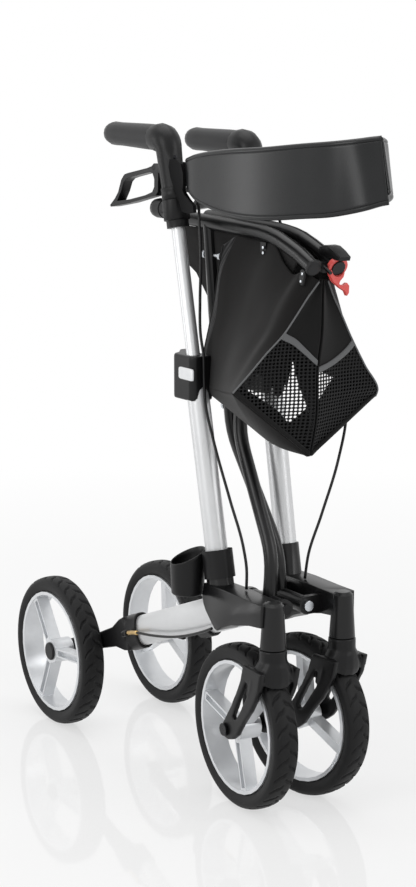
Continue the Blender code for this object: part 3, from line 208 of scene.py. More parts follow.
lamp("soft_left", (-2.6, -0.6, 1.7), (0, 0, 0.6), (1.2, 1.8), 22)
lamp("soft_right", (1.6, -2.6, 1.8), (0, 0, 0.5), (1.2, 1.8), 20)
lamp("soft_above", (0.0, 0.2, 2.9), (0, 0, 0.4), (2.2, 2.2), 24)
lamp("narrow_behind", (-2.18, 1.8, 0.9), (0, -0.1, 0.85), (0.3, 1.5), 9)


# Side castings: satin black powder-coated aluminium castings, one on each side. Each holds the
# upright, the oval lower tube, the head tube of its caster and the pivot of the fold.
SIDES = {"r": -1, "l": 1}
WELD = 0.000004
FLAT_ANGLE = math.radians(0.4)
EDGE_ANGLE = math.radians(32.0)


def surface(name, low, high, patch, grain, depth, rough, spread=0.05, metallic=0.0, coat=0.0,
            stretch=(1.0, 1.0, 1.0), specular=0.5):
    """A finish whose colour drifts from low to high in patches, over a fine bumpy grain.

    patch, grain and depth are the patches' size and the grain's size and height in millimetres. A
    finer grain than about 1 mm is drawn that coarse, so that it shows. The roughness is rough,
    give or take spread, and stretch scales the grain's coordinates.
    """
    made, tree, output = blank(name)
    place = add(tree, "TexCoord")
    stretched = add(tree, "Mapping", {"Scale": stretch}, {"Vector": (place, "Object")})
    drift = add(
        tree, "TexNoise", {"Scale": 1000 / patch, "Detail": 3.0, "Roughness": 0.6},
        {"Vector": (place, "Object")},
    )
    fine = add(
        tree, "TexNoise", {"Scale": 1000 / grain, "Detail": 3.0, "Roughness": 0.65},
        {"Vector": (stretched, 0)},
    )
    tone = add(tree, "MixRGB", {1: linear(low), 2: linear(high)}, {0: (drift, 0)})
    limits = {"To Min": rough - spread, "To Max": rough + spread}
    varied = add(tree, "MapRange", limits, {"Value": (fine, 0)})
    bump = add(tree, "Bump", {"Strength": 0.6, "Distance": depth / 1000}, {"Height": (fine, 0)})
    shader = add(
        tree, "BsdfPrincipled",
        {
            "Metallic": metallic, "Coat Weight": coat, "Coat Roughness": 0.2,
            "Specular IOR Level": specular,
        },
        {"Base Color": (tone, 0), "Roughness": (varied, 0), "Normal": (bump, 0)},
    )
    tree.links.new(shader.outputs[0], output.inputs[0])
    return made


def dress(node, name, material, rounding=0.0005):
    """A welded copy of a CAD node with rounded edges, which stands for it and rides its body."""
    source = frame["nodes"][node]
    mesh = source.data.copy()
    mesh.name = name
    shape = bmesh.new()
    shape.from_mesh(mesh)
    bmesh.ops.remove_doubles(shape, verts=shape.verts, dist=WELD)
    bmesh.ops.dissolve_limit(shape, angle_limit=FLAT_ANGLE, verts=shape.verts, edges=shape.edges)
    shape.to_mesh(mesh)
    shape.free()
    mesh.shade_smooth()
    mesh.set_sharp_from_angle(angle=EDGE_ANGLE)
    mesh.materials.clear()
    mesh.materials.append(material)
    made = linked(name, mesh)
    if rounding:
        edge = made.modifiers.new("rounded edges", "BEVEL")
        edge.width = rounding
        edge.segments = 2
        edge.limit_method = "ANGLE"
        edge.angle_limit = EDGE_ANGLE
        edge.harden_normals = True
    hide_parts(node)
    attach(made, source["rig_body"])
    return made


def soften(piece, cell, passes):
    """Edges that flow like a moulding's: the piece is rebuilt in small cells, then smoothed."""
    piece.modifiers.clear()
    cells = piece.modifiers.new("cells", "REMESH")
    cells.mode = "VOXEL"
    cells.voxel_size = cell
    cells.use_smooth_shade = True
    flow = piece.modifiers.new("flow", "SMOOTH")
    flow.factor = 0.5
    flow.iterations = passes


# Powder coat on cast aluminium: deep black, satin, with a faint orange peel of about 1 mm.
powder_coat = surface(
    "satin_powder_coat", "#0a0a0b", "#111112", 40, 1.1, 0.03, rough=0.3, specular=0.35
)
for side in SIDES:
    dress(f"side_arm_{side}", f"side_casting_{side}", powder_coat, 0.0012)


# Lower tubes and uprights: oval and round drawn aluminium tubes with a satin anodised skin. They
# sit in the castings' sockets, and the handle slides on the upright's narrower upper part.

# Anodised aluminium: pale and softly metallic. Its fine draw lines along the tube are drawn about
# 1.5 mm apart, so that they show.
tube_anodised, oval_anodised = (
    surface(name, low, "#dddedf", 60, 1.5, 0.01, rough=0.36, metallic=0.6, stretch=stretch)
    for name, low, stretch in (
        ("satin_anodised_tube", "#cfd0d1", (1.0, 1.0, 0.03)),
        ("satin_anodised_oval_tube", "#cccdce", (1.0, 0.04, 1.0)),
    )
)
for side in SIDES:
    dress(f"upright_{side}", f"upright_tube_{side}", tube_anodised, 0.0003)
    dress(f"lower_tube_{side}", f"oval_tube_{side}", oval_anodised, 0.0004)


# Rear bars, seat brackets and the cane cup's band: glass-filled nylon mouldings. The rear bar
# clamps round the lower tube, the bracket round the upright, and the band round its socket.

# Moulded nylon: matt black, with a fine spark-eroded texture.
nylon = surface(
    "moulded_black_nylon", "#0b0b0c", "#141415", 25, 0.9, 0.04, rough=0.38, spread=0.07,
    specular=0.25,
)
for side in SIDES:
    bar = dress(f"dropout_{side}", f"rear_bar_{side}", nylon)
    soften(bar, cell=0.0012, passes=12)
    bracket = dress(f"seat_bracket_{side}", f"upright_bracket_{side}", nylon)
    soften(bracket, cell=0.0011, passes=14)
# The band is the solid without its plain cup, which the last section makes anew.
CUP_AXIS = (-0.0855, REAR_AXLE_Y - 0.361)
PLAIN_CUP_REACH = 0.0252
band = dress("cane_cup_r", "cane_holder_band", nylon, 0.0)
shape = bmesh.new()
shape.from_mesh(band.data)
plain_cup = [v for v in shape.verts if (v.co.xy - Vector(CUP_AXIS)).length < PLAIN_CUP_REACH]
bmesh.ops.delete(shape, geom=plain_cup, context="VERTS")
shape.to_mesh(band.data)
shape.free()


# Bolts, axles and pins: turned steel, zinc-plated bright with a bluish tinge, or black on the
# casters' axles. The right fold pivot wears a black moulded cap.
zinc = surface(
    "zinc_plated_steel", "#b9bdc2", "#d2d5d9", 8, 0.8, 0.01, rough=0.22, spread=0.06, metallic=1.0
)
black_zinc = surface(
    "black_zinc_plated_steel", "#1c1c1e", "#29292c", 8, 0.8, 0.01, rough=0.28, spread=0.06,
    metallic=0.8,
)
for side in SIDES:
    dress(f"rear_axle_{side}", f"axle_bolt_{side}", zinc, 0.0004)
    dress(f"caster_axle_{side}", f"caster_bolt_{side}", black_zinc, 0.0004)
dress("pivot_bolt_l", "fold_pivot_bolt_l", zinc)
dress("pivot_bolt_r", "capped_fold_pivot_r", nylon)
dress("centre_bolt", "cross_bolt", zinc)
dress("stay_bolt", "rail_stay_bolt", zinc)


# Wheels: light silver painted nylon wheels with three channelled spokes, and dark grey foamed rubber
# tyres. Short slanted sipes cross the tread on both halves, half a step apart.
WHEEL_RADIUS = 0.115
TYRE_HEIGHT = 0.0218
TYRE_WIDTH = 0.037
TREAD_HEIGHT = 0.006
SIPES = 32
SIPE_DEPTH = 0.0026
SIPE_WIDTH = 0.0026
# A sipe runs from SIPE_START to SIPE_END beside the tread's middle, and SIPE_SLANT round the tyre
# for each unit across, with a wave of SIPE_WAVE.
SIPE_START, SIPE_END = 0.0022, 0.0135
SIPE_SLANT = 1.05
SIPE_WAVE = 0.0016


def turned_about(axis, centre, radius, along, angle):
    """Points at a radius and a distance along an axis, turned by an angle from the upright."""
    axis = np.array(axis) / np.linalg.norm(axis)
    level = np.cross(axis, (0, 0, 1))
    level /= np.linalg.norm(level)
    upright = np.cross(level, axis)
    out = np.cos(angle)[..., None] * upright + np.sin(angle)[..., None] * level
    return np.array(centre) + radius[..., None] * out + along[..., None] * axis


def tyre_points(axis, centre):
    """A rounded square profile carried round the axle, with sipes pressed into its tread.

    A sipe lowers the radius by its depth where the arc round the tyre, less the sipe's slant and
    wave, is near a whole number of steps. It fades out over its width and past its ends.
    """
    half, tread, inner = TYRE_WIDTH / 2, WHEEL_RADIUS, WHEEL_RADIUS - TYRE_HEIGHT
    # Radius and share of the half width, from the bead up to the middle of the tread
    outline = np.array([
        (inner, 0.78), (inner + 0.0035, 0.9), (inner + 0.009, 0.985), (inner + 0.0125, 1.0),
        (tread - 0.0075, 0.985), (tread - 0.0045, 0.9), (tread - 0.0022, 0.75),
        (tread - 0.0009, 0.55), (tread - 0.0002, 0.3), (tread, 0.0),
    ])
    outline[:, 1] *= half
    profile = np.vstack([outline, outline[-2::-1] * (1, -1)])
    steps = np.linspace(0, len(profile) - 1, 64)
    radius = np.interp(steps, np.arange(len(profile)), profile[:, 0])
    across = np.interp(steps, np.arange(len(profile)), profile[:, 1])
    angle = np.linspace(0, math.tau, 720, endpoint=False)
    turn, across = np.meshgrid(angle, across, indexing="ij")
    radius = np.broadcast_to(radius, turn.shape).copy()
    pitch = math.tau * WHEEL_RADIUS / SIPES
    arc = turn * WHEEL_RADIUS + np.where(across > 0, 0.0, pitch / 2)
    reach = np.abs(across)
    slant = reach * SIPE_SLANT + SIPE_WAVE * np.sin(reach * math.tau / SIPE_END)
    offset = (arc - slant + pitch / 2) % pitch - pitch / 2
    distance = np.abs(offset) / math.hypot(1, SIPE_SLANT)
    ends = np.maximum(np.maximum(SIPE_START - reach, reach - SIPE_END), 0)
    # The groove is at its full depth to 0.6 of its half width, and gone at 1.6 of it.
    groove = np.clip(1.6 - np.hypot(distance, ends) / (SIPE_WIDTH / 2), 0, 1)
    radius -= np.where(radius > WHEEL_RADIUS - TREAD_HEIGHT, SIPE_DEPTH * groove, 0)
    return turned_about(axis, centre, radius, across, turn)


# Foamed rubber: dark grey and dull, a little uneven. Silver paint: pale, with a soft shine.
tyre_rubber = surface(
    "foamed_tyre_rubber", "#151515", "#1e1e1f", 18, 0.8, 0.05, rough=0.55, spread=0.08, specular=0.2
)
rim_paint = surface(
    "silver_spray_paint", "#d4d6d9", "#e2e4e6", 22, 0.9, 0.01, rough=0.3, metallic=0.45, coat=0.25
)
for side in SIDES:
    for kind in ("rear", "caster"):
        spin = joints[f"{kind}_wheel_{side}"]
        tyre = grid_object(
            f"{kind}_tread_{side}", tyre_points(spin["axis"], spin["pos_m"]), tyre_rubber,
            closed_u=True, closed_v=True,
        )
        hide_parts(f"{kind}_tyre_{side}")
        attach(tyre, f"{kind}_wheel_{side}")
        dress(f"{kind}_rim_{side}", f"{kind}_spoked_rim_{side}", rim_paint, 0.0009)
    dress(f"hub_cap_{side}", f"rear_hub_cap_{side}", nylon, 0.0006)
    dress(f"brake_shoe_{side}", f"brake_pad_{side}", nylon, 0.0006)
    fork = dress(f"caster_fork_{side}", f"slotted_fork_{side}", nylon)
    soften(fork, cell=0.0011, passes=22)


# Handles: the clamp with its knob, the elbow housing, the soft rubber grip and the brake lever,
# which all slide together on the upright. Clamp, knob, housing and lever are moulded nylon.

# Grip rubber: a soft dark grey, less dull than the tyres.
grip_rubber = surface(
    "soft_grip_rubber", "#141415", "#1e1e20", 12, 0.9, 0.06, rough=0.42, spread=0.08, specular=0.3
)
for side in SIDES:
    dress(f"height_clamp_{side}", f"clamp_ring_{side}", nylon, 0.0008)
    dress(f"clamp_knob_{side}", f"turn_knob_{side}", nylon, 0.0008)
    dress(f"handle_housing_{side}", f"elbow_housing_{side}", nylon, 0.0008)
    dress(f"grip_{side}", f"hand_grip_{side}", grip_rubber, 0.0006)
    dress(f"brake_lever_{side}", f"loop_lever_{side}", nylon, 0.001)


# Fold: two crossed steel tubes and two seat rails, powder-coated satin black, with moulded tabs
# round the rails for the bag, and a coral red acetal hook that turns on the end of the left rail.

# Acetal: an even, waxy red.
acetal = surface("red_acetal", "#e4504c", "#ee6660", 14, 1.2, 0.02, rough=0.36, coat=0.1)
for letter in "ab":
    dress(f"cross_tube_{letter}", f"crossed_tube_{letter}", powder_coat, 0.0004)
for side in SIDES:
    dress(f"seat_rail_{side}", f"bent_seat_rail_{side}", powder_coat, 0.0004)
    dress(f"bag_tab_{side}", f"riveted_tab_{side}", nylon, 0.0004)
dress("fold_hook", "red_hook", acetal, 0.0008)


# Bag: matt black woven polyester, hung from the rails by riveted tabs. It stands folded: the front
# corners spread, the pleat between them lies folded inwards, and the base hangs as a keel. A net
# pocket with a grey band covers the front, and grey piping runs down its edges.
TUBE_END = 0.0001


def curve_through(points, count):
    """A smooth curve through points, sampled at equal steps of length.

    Cubic pieces join the points, and each point's slope is that of the chords beside it.
    """
    points = np.asarray(points, float)
    chord = np.r_[0, np.cumsum(np.linalg.norm(np.diff(points, axis=0), axis=1))]
    slope = np.gradient(points, chord, axis=0)
    length = np.linspace(0, chord[-1], count)
    i = np.clip(np.searchsorted(chord, length, side="right") - 1, 0, len(chord) - 2)
    step = (chord[i + 1] - chord[i])[:, None]
    t = (length - chord[i])[:, None] / step
    return (
        (1 + 2 * t) * (1 - t) ** 2 * points[i] + t * (1 - t) ** 2 * step * slope[i]
        + t * t * (3 - 2 * t) * points[i + 1] + t * t * (t - 1) * step * slope[i + 1]
    )


def placed(points, side):
    """Points as (distance from the middle plane, forward, height), moved to their side's place."""
    points = np.asarray(points, float)
    return np.stack([side * points[..., 0], REAR_AXLE_Y - points[..., 1], points[..., 2]], axis=-1)


def patch_between(top, bottom, rear, front):
    """A patch inside four edges: both pairs' straight rulings added, less those of the corners."""
    u = np.linspace(0, 1, len(top))[None, :, None]
    v = np.linspace(0, 1, len(rear))[:, None, None]
    above, below = (1 - u) * top[0] + u * top[-1], (1 - u) * bottom[0] + u * bottom[-1]
    return (
        (1 - v) * top[None] + v * bottom[None] + (1 - u) * rear[:, None] + u * front[:, None]
        - ((1 - v) * above + v * below)
    )


def ruled(top, bottom, rows):
    """Straight lines from one curve to another."""
    v = np.linspace(0, 1, rows)[:, None, None]
    return (1 - v) * top[None] + v * bottom[None]


def own_mesh(made):
    """Takes what the modifiers give as the object's own mesh, with its faces outwards."""
    depsgraph = bpy.context.evaluated_depsgraph_get()
    mesh = bpy.data.meshes.new_from_object(made.evaluated_get(depsgraph))
    made.modifiers.clear()
    shape = bmesh.new()
    shape.from_mesh(mesh)
    bmesh.ops.remove_doubles(shape, verts=shape.verts, dist=0.00001)
    bmesh.ops.recalc_face_normals(shape, faces=shape.faces)
    shape.to_mesh(mesh)
    shape.free()
    made.data = mesh
    return made


def thickened(made, thickness):
    """A sheet given a thickness, half on each side."""
    wall = made.modifiers.new("thickness", "SOLIDIFY")
    wall.thickness = thickness
    wall.offset = 0.0
    return own_mesh(made)


def cloth(name, points, material, thickness=0.0014):
    """A grid of points given the thickness of a cloth."""
    return thickened(grid_object(name, points, material), thickness)


def tube(name, path, radius, material, reference, sides=12):
    """A round tube along a path, drawn in to TUBE_END at its two ends.

    Its rings start from the direction square to the path and to reference, so no part of the path
    runs along reference.
    """
    path = np.vstack([path[:1], path, path[-1:]])
    size = np.r_[TUBE_END, np.full(len(path) - 2, radius), TUBE_END]
    along = np.gradient(path[1:-1], axis=0)
    along = np.vstack([along[:1], along, along[-1:]])
    first = np.cross(along, reference)
    first /= np.linalg.norm(first, axis=1)[:, None]
    second = np.cross(along, first)
    second /= np.linalg.norm(second, axis=1)[:, None]
    angle = np.linspace(0, math.tau, sides, endpoint=False)[None, :, None]
    ring = np.cos(angle) * first[:, None] + np.sin(angle) * second[:, None]
    points = path[:, None] + size[:, None, None] * ring
    return own_mesh(grid_object(name, points, material, closed_v=True))


def woven(name, low, high, thread, depth, directions):
    """Cloth of threads that cross in two directions, whose tone drifts in patches of about 45 mm.

    thread is how far apart they are drawn and depth how high they stand, in millimetres.
    """
    made, tree, output = blank(name)
    place = add(tree, "TexCoord")
    drift = add(tree, "TexNoise", {"Scale": 22.0, "Detail": 3.0}, {"Vector": (place, "Object")})
    # At a scale of 1 a wave texture repeats every 314 mm.
    threads = [
        add(
            tree, "TexWave", {"Scale": 314 / thread, "Distortion": 0.4, "Detail": 1.0},
            {"Vector": (place, "Object")}, wave_type="BANDS", bands_direction=direction,
        )
        for direction in directions
    ]
    crossed = add(
        tree, "Math", None, {0: (threads[0], 1), 1: (threads[-1], 1)}, operation="MULTIPLY"
    )
    mixed = add(tree, "Math", None, {0: (crossed, 0), 1: (drift, 0)}, operation="MULTIPLY")
    tone = add(tree, "MixRGB", {1: linear(low), 2: linear(high)}, {0: (mixed, 0)})
    bump = add(tree, "Bump", {"Strength": 0.5, "Distance": depth / 1000}, {"Height": (crossed, 0)})
    shader = add(
        tree, "BsdfPrincipled",
        {
            "Roughness": 0.85, "Sheen Weight": 0.12, "Sheen Roughness": 0.5,
            "Specular IOR Level": 0.15,
        },
        {"Base Color": (tone, 0), "Normal": (bump, 0)},
    )
    tree.links.new(shader.outputs[0], output.inputs[0])
    return made


# Woven polyester: dull black, with threads of 0.5 mm drawn 1.3 mm apart, as finer ones don't show.
# The webbing's ribs stand aslant, 5 mm apart.
bag_cloth = woven("woven_black_polyester", "#161515", "#262524", 1.3, 0.12, "YZ")
front_cloth = woven("woven_black_polyester_front", "#141414", "#232222", 1.3, 0.12, "XZ")
net_yarn = surface(
    "knitted_black_net", "#0e0e0f", "#171718", 10, 0.8, 0.03, rough=0.6, specular=0.2
)
grey_tape = woven("grey_woven_tape", "#68696a", "#838486", 1.2, 0.1, "XZ")
ribbed_web = woven("ribbed_black_webbing", "#0a0a0b", "#4c4c4e", 5.2, 0.6, ("DIAGONAL", "DIAGONAL"))

# Lines of one half of the bag, as (distance from the middle plane, forward, height)
CREASE_X = 0.0018
REAR_EDGE = [
    (0.03, 0.3959, 0.779), (0.036, 0.3706, 0.7321), (0.04, 0.3593, 0.6632), (0.045, 0.3468, 0.6208),
    (0.045, 0.3364, 0.5709),
]
WEBBING_EDGE = [
    (0.0305, 0.3662, 0.7653), (0.0305, 0.3559, 0.736), (0.0305, 0.3461, 0.6933),
    (0.0305, 0.3305, 0.6498), (0.0305, 0.3146, 0.6047), (0.0305, 0.3112, 0.5874),
]
TOP_EDGE = [
    (0.03, 0.3959, 0.779), (0.0205, 0.43, 0.776), (0.0188, 0.45, 0.7745), (0.0195, 0.474, 0.772),
    (0.022, 0.5, 0.75), (0.0225, 0.523, 0.738), (0.02, 0.546, 0.744), (0.0067, 0.5562, 0.7311),
]
PIPED_EDGE = {
    "r": [
        (0.0067, 0.5562, 0.7311), (0.02, 0.5512, 0.7121), (0.034, 0.5456, 0.6888),
        (0.0503, 0.5392, 0.6634), (0.0709, 0.5319, 0.6403), (0.0916, 0.5244, 0.615),
        (0.1133, 0.5167, 0.5898),
    ],
    "l": [
        (0.0067, 0.5562, 0.7311), (0.02, 0.55, 0.709), (0.0303, 0.547, 0.6939),
        (0.0575, 0.539, 0.6519), (0.0858, 0.531, 0.6127), (0.1139, 0.523, 0.5756),
        (0.1175, 0.514, 0.566),
    ],
}
BOTTOM_EDGE = {
    "r": [
        (0.045, 0.3364, 0.5709), (0.06, 0.4, 0.573), (0.085, 0.46, 0.58), (0.1133, 0.5167, 0.5898),
    ],
    "l": [
        (0.045, 0.3364, 0.5709), (0.053, 0.356, 0.556), (0.059, 0.37, 0.55), (0.0615, 0.377, 0.58),
        (0.0629, 0.3806, 0.626), (0.0668, 0.3899, 0.625), (0.0718, 0.4022, 0.6159),
        (0.0781, 0.4175, 0.6033), (0.0837, 0.4311, 0.5935), (0.0922, 0.4522, 0.5858),
        (0.105, 0.484, 0.576), (0.1175, 0.514, 0.566),
    ],
}
CREASE = [
    (CREASE_X, 0.556, 0.733), (CREASE_X, 0.5554, 0.7199), (CREASE_X, 0.5522, 0.6548),
    (CREASE_X, 0.5461, 0.6253), (CREASE_X, 0.543, 0.5482), (CREASE_X, 0.5302, 0.4981),
]
TIP = np.array(CREASE[-1])
KEEL = [
    (0.04, 0.345, 0.56), (0.04, 0.4, 0.5435), (0.04, 0.4423, 0.5307), (0.028, 0.5039, 0.5077),
    tuple(TIP),
]
FLAP_EDGE = [
    (0.024, 0.35, 0.57), (0.024, 0.3977, 0.5759), (0.024, 0.4175, 0.5717), (0.024, 0.4516, 0.5641),
    (0.024, 0.4839, 0.5557), (0.024, 0.5016, 0.5484), (0.024, 0.5145, 0.5409),
    (CREASE_X, 0.529, 0.5),
]
# Rear edge of the left half's base sheet, which crosses to the keel's tip
CROSSING_EDGE = [
    (0.0905, 0.4545, 0.585), (0.0723, 0.4639, 0.5739), (0.0538, 0.4714, 0.56),
    (0.0356, 0.4717, 0.5507), (0.0178, 0.4739, 0.5404), (0.0032, 0.4751, 0.5324),
    (-0.025, 0.5, 0.511), (-CREASE_X, 0.5302, 0.4981),
]
# The grey band's upper edge, as (distance from the middle plane, height)
BAND_EDGE = {
    "r": [(0.0481, 0.6646), (0.0276, 0.6519), (0.0135, 0.6382), (CREASE_X, 0.627)],
    "l": [(0.0605, 0.6498), (0.0439, 0.6328), (0.0209, 0.622), (CREASE_X, 0.6175)],
}
BAND_WIDTH = 0.0075
BAND_RISE, BAND_FORWARD = 0.001, 0.0016
# The pleat's depth behind the crease, by height
PLEAT_HEIGHT = [0.4981, 0.543, 0.5605, 0.5905, 0.6248, 0.64, 0.66, 0.733]
PLEAT_DEPTH = [0.001, 0.012, 0.021, 0.043, 0.059, 0.076, 0.085, 0.006]
PANEL_ROWS, PANEL_COLUMNS = 90, 110
PANEL_BULGE = 0.002
STRIP_BULGE = 0.003
FRONT_TOP = 0.7325
FRONT_SAG = 0.004
PIPING_RADIUS = 0.0011
HEM_WIDTH = 0.004
# The net's cell, its hole's share of it, the yarn's thickness, how far out and how high cells are
# laid, and how far under the band's upper edge they end
NET_CELL = (0.0054, 0.0048)
NET_HOLE = 0.7392
NET_YARN = 0.0009
NET_OUT, NET_TOP = 0.118, 0.668
NET_TUCK = 0.002

crease = curve_through(CREASE, 160)


def at_height(line, height, column):
    """Where a line that runs downwards stands at a height: column 0 is its distance, 1 forward."""
    return np.interp(height, line[::-1, 2], line[::-1, column])


def front_point(side, x, height):
    """Place on the front at a distance from the middle plane and a height.

    It lies on the level line from the crease to the outer edge, which sags a little.
    """
    outer = np.vstack([curve_through(PIPED_EDGE[side], 120), TIP])
    level = np.clip(height, TIP[2], outer[0, 2])
    edge_x, edge_forward = at_height(outer, level, 0), at_height(outer, level, 1)
    crease_forward = at_height(crease, level, 1)
    share = np.clip((x - CREASE_X) / np.maximum(edge_x - CREASE_X, 0.0005), 0, 1)
    x = CREASE_X + share * (edge_x - CREASE_X)
    sag = FRONT_SAG * np.sin(np.pi * share)
    forward = crease_forward + share * (edge_forward - crease_forward) - sag
    return np.stack([x, forward, height], axis=-1)


def band_height(side, share):
    """Height of the band's upper edge at a share of the way from the crease to the outer edge."""
    edge = np.array(BAND_EDGE[side])
    outer = np.vstack([curve_through(PIPED_EDGE[side], 120), TIP])
    limit = at_height(outer, edge[:, 1], 0)
    at = (edge[:, 0] - CREASE_X) / (limit - CREASE_X)
    smooth = curve_through(np.stack([at, edge[:, 1]], axis=1), 60)
    return np.interp(share, smooth[::-1, 0], smooth[::-1, 1])


def net_limits(side, outline, x, height):
    """The front's outer edge at a height, and the band's height at a distance x out."""
    edge = at_height(outline, height, 0)
    share = np.clip((x - CREASE_X) / np.maximum(edge - CREASE_X, 0.001), 0, 1)
    return edge, band_height(side, share)


# A net cell, in shares of its size: a rim of eight points round a hole of eight
rim = np.array([(0, 0), (0.5, 0), (1, 0), (1, 0.5), (1, 1), (0.5, 1), (0, 1), (0, 0.5)])
turn = np.arange(8) * math.pi / 4 - 0.75 * math.pi
hole = 0.5 + NET_HOLE / 2 * np.stack([np.cos(turn), np.sin(turn)], axis=1)
net_cell = np.vstack([rim, hole])


def net(name, points):
    """A knitted net from cells of sixteen points, whose quads join each rim to its hole."""
    k = np.arange(8)
    pattern = np.stack([k, (k + 1) % 8, (k + 1) % 8 + 8, k + 8], axis=1)
    quads = (np.arange(len(points))[:, None, None] * 16 + pattern[None]).reshape(-1, 4)
    mesh = bpy.data.meshes.new(name)
    mesh.from_pydata(points.reshape(-1, 3).tolist(), [], quads.tolist())
    mesh.materials.append(net_yarn)
    shape = bmesh.new()
    shape.from_mesh(mesh)
    bmesh.ops.remove_doubles(shape, verts=shape.verts, dist=0.00006)
    bmesh.ops.dissolve_degenerate(shape, edges=shape.edges, dist=0.00003)
    shape.to_mesh(mesh)
    shape.free()
    mesh.shade_smooth()
    return thickened(linked(name, mesh), NET_YARN)


def folds(rows, columns, height, seed):
    """Low soft folds that fade out towards the edges: three slanting waves added together."""
    v, u = np.meshgrid(np.linspace(0, 1, rows), np.linspace(0, 1, columns), indexing="ij")
    waves = (
        np.sin(7.0 * u + 3.0 * v + seed) + 0.6 * np.sin(11.0 * v - 5.0 * u + 2 * seed)
        + 0.4 * np.sin(17.0 * u + 9.0 * v + 3 * seed)
    )
    return height * waves * np.sin(np.pi * u) * np.sin(np.pi * v)


for letter, side in SIDES.items():
    piped = curve_through(PIPED_EDGE[letter], PANEL_ROWS)
    outline = np.vstack([piped, TIP])

    # Side panel, which bulges outwards between its edges
    panel = patch_between(
        curve_through(TOP_EDGE, PANEL_COLUMNS), curve_through(BOTTOM_EDGE[letter], PANEL_COLUMNS),
        curve_through(REAR_EDGE, PANEL_ROWS), piped,
    )
    down = np.sin(np.pi * np.linspace(0, 1, PANEL_ROWS))[:, None]
    along = np.sin(np.pi * np.linspace(0, 1, PANEL_COLUMNS))[None]
    panel[..., 0] += folds(PANEL_ROWS, PANEL_COLUMNS, 0.001, 1.4) + PANEL_BULGE * (down * along)
    bag_side = cloth(f"bag_side_{letter}", placed(panel, side), bag_cloth)
    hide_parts("bag")

    # Front: plain cloth above the band, and net below, in cells outwards from crease and tip
    share, fall = np.meshgrid(np.linspace(0, 1, 40), np.linspace(0, 1, 50))
    height = FRONT_TOP + (band_height(letter, share) - FRONT_TOP) * fall
    edge = at_height(piped, height, 0)
    apron = front_point(letter, CREASE_X + share * (edge - CREASE_X), height)
    front = cloth(f"bag_front_{letter}", placed(apron, side), front_cloth)
    columns, rows = int(NET_OUT / NET_CELL[0]) + 1, int((NET_TOP - TIP[2]) / NET_CELL[1]) + 1
    a, b = np.meshgrid(np.arange(columns), np.arange(rows), indexing="ij")
    x, height = CREASE_X + a * NET_CELL[0], TIP[2] + (b + 0.5) * NET_CELL[1]
    edge, over = net_limits(letter, outline, x, height)
    inside = (x < edge - 0.0004) & (height < over)
    cells = np.stack([a[inside], b[inside]], axis=1)[:, None] + net_cell
    x, height = CREASE_X + cells[..., 0] * NET_CELL[0], TIP[2] + cells[..., 1] * NET_CELL[1]
    edge, over = net_limits(letter, outline, x, height)
    knots = front_point(letter, np.minimum(x, edge), np.minimum(height, over - NET_TUCK))
    pocket = net(f"bag_net_{letter}", placed(knots, side))

    # Grey tape over the pocket's edge, piping down the front edge, and a hem along the bottom
    share = np.linspace(0, 1, 60)[None]
    height = band_height(letter, share) + BAND_RISE - np.linspace(0, BAND_WIDTH, 4)[:, None]
    edge = at_height(outline, height, 0)
    tape = front_point(letter, CREASE_X + share * (edge - CREASE_X), height)
    tape[..., 1] += BAND_FORWARD
    band = cloth(f"bag_band_{letter}", placed(tape, side), grey_tape, 0.0012)
    piping_path = placed(piped + (0.0006, 0.0012, 0), side)
    piping = tube(f"bag_piping_{letter}", piping_path, PIPING_RADIUS, grey_tape, (0, 1, 0))
    low = np.linspace(piped[-1], TIP, 60)
    inner = front_point(letter, low[:, 0] - HEM_WIDTH, low[:, 2] + HEM_WIDTH)
    hem_points = placed(ruled(low, inner, 3) + (0, 0.001, 0), side)
    hem = cloth(f"bag_hem_{letter}", hem_points, front_cloth)

    # Ribbed webbing along the rear edge, trimmed with a bead
    rear, inner = curve_through(REAR_EDGE, 60), curve_through(WEBBING_EDGE, 60)
    web = cloth(f"bag_webbing_{letter}", placed(ruled(rear, inner, 14), side), ribbed_web)
    trim = tube(f"bag_webbing_trim_{letter}", placed(inner, side), 0.0018, front_cloth, (1, 0, 0))
    for piece in (bag_side, front, pocket, band, piping, hem, web, trim):
        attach(piece, f"bag_{letter}")

# Base: a strip from the right panel's and front's lower edges down to the keel
front_low = np.linspace(BOTTOM_EDGE["r"][-1], TIP, 60)[1:]
low = np.vstack([curve_through(BOTTOM_EDGE["r"], 90), front_low])
low = low[np.linspace(0, len(low) - 1, 120).round().astype(int)]
strip = ruled(low, curve_through(KEEL, 120), 14)
strip[..., 0] += STRIP_BULGE * np.sin(np.pi * np.linspace(0, 1, 14))[:, None]
base = cloth("bag_base_r", placed(strip, -1), bag_cloth)
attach(base, "bag_r")

# The left half's base is a sheet from its front's lower edge across to the keel's tip.
front_low = np.linspace(PIPED_EDGE["l"][-1], TIP, 91)[1:]
low = np.vstack([curve_through(BOTTOM_EDGE["l"][-3:], 30), front_low])
sheet = ruled(low, curve_through(CROSSING_EDGE, 120), 20)
base = cloth("bag_base_l", placed(sheet, 1), bag_cloth)
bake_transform(base)

# The base cloth turns up again inside the keel.
turned_up = ruled(curve_through(KEEL, 60), curve_through(FLAP_EDGE, 60), 10)
flap = cloth("bag_base_flap", placed(turned_up, -1), bag_cloth)
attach(flap, "bag_r")

# The pleat, of cloth above and net below, opens as the bag spreads.
for name, first, last, stuff in (
    ("bag_pleat", 0.6235, 0.733, front_cloth), ("bag_pleat_lower", 0.4985, 0.6235, net_yarn)
):
    height, across = np.meshgrid(np.linspace(last, first, 40), np.linspace(-1, 1, 21), indexing="ij")
    depth = np.interp(height, PLEAT_HEIGHT, PLEAT_DEPTH)
    behind = at_height(crease, height, 1) - depth * (1 - np.abs(across))
    pleat = placed(np.stack([CREASE_X * across, behind, height], axis=-1), 1)
    fold = cloth(name, pleat, stuff, 0.0008)
    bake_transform(fold)


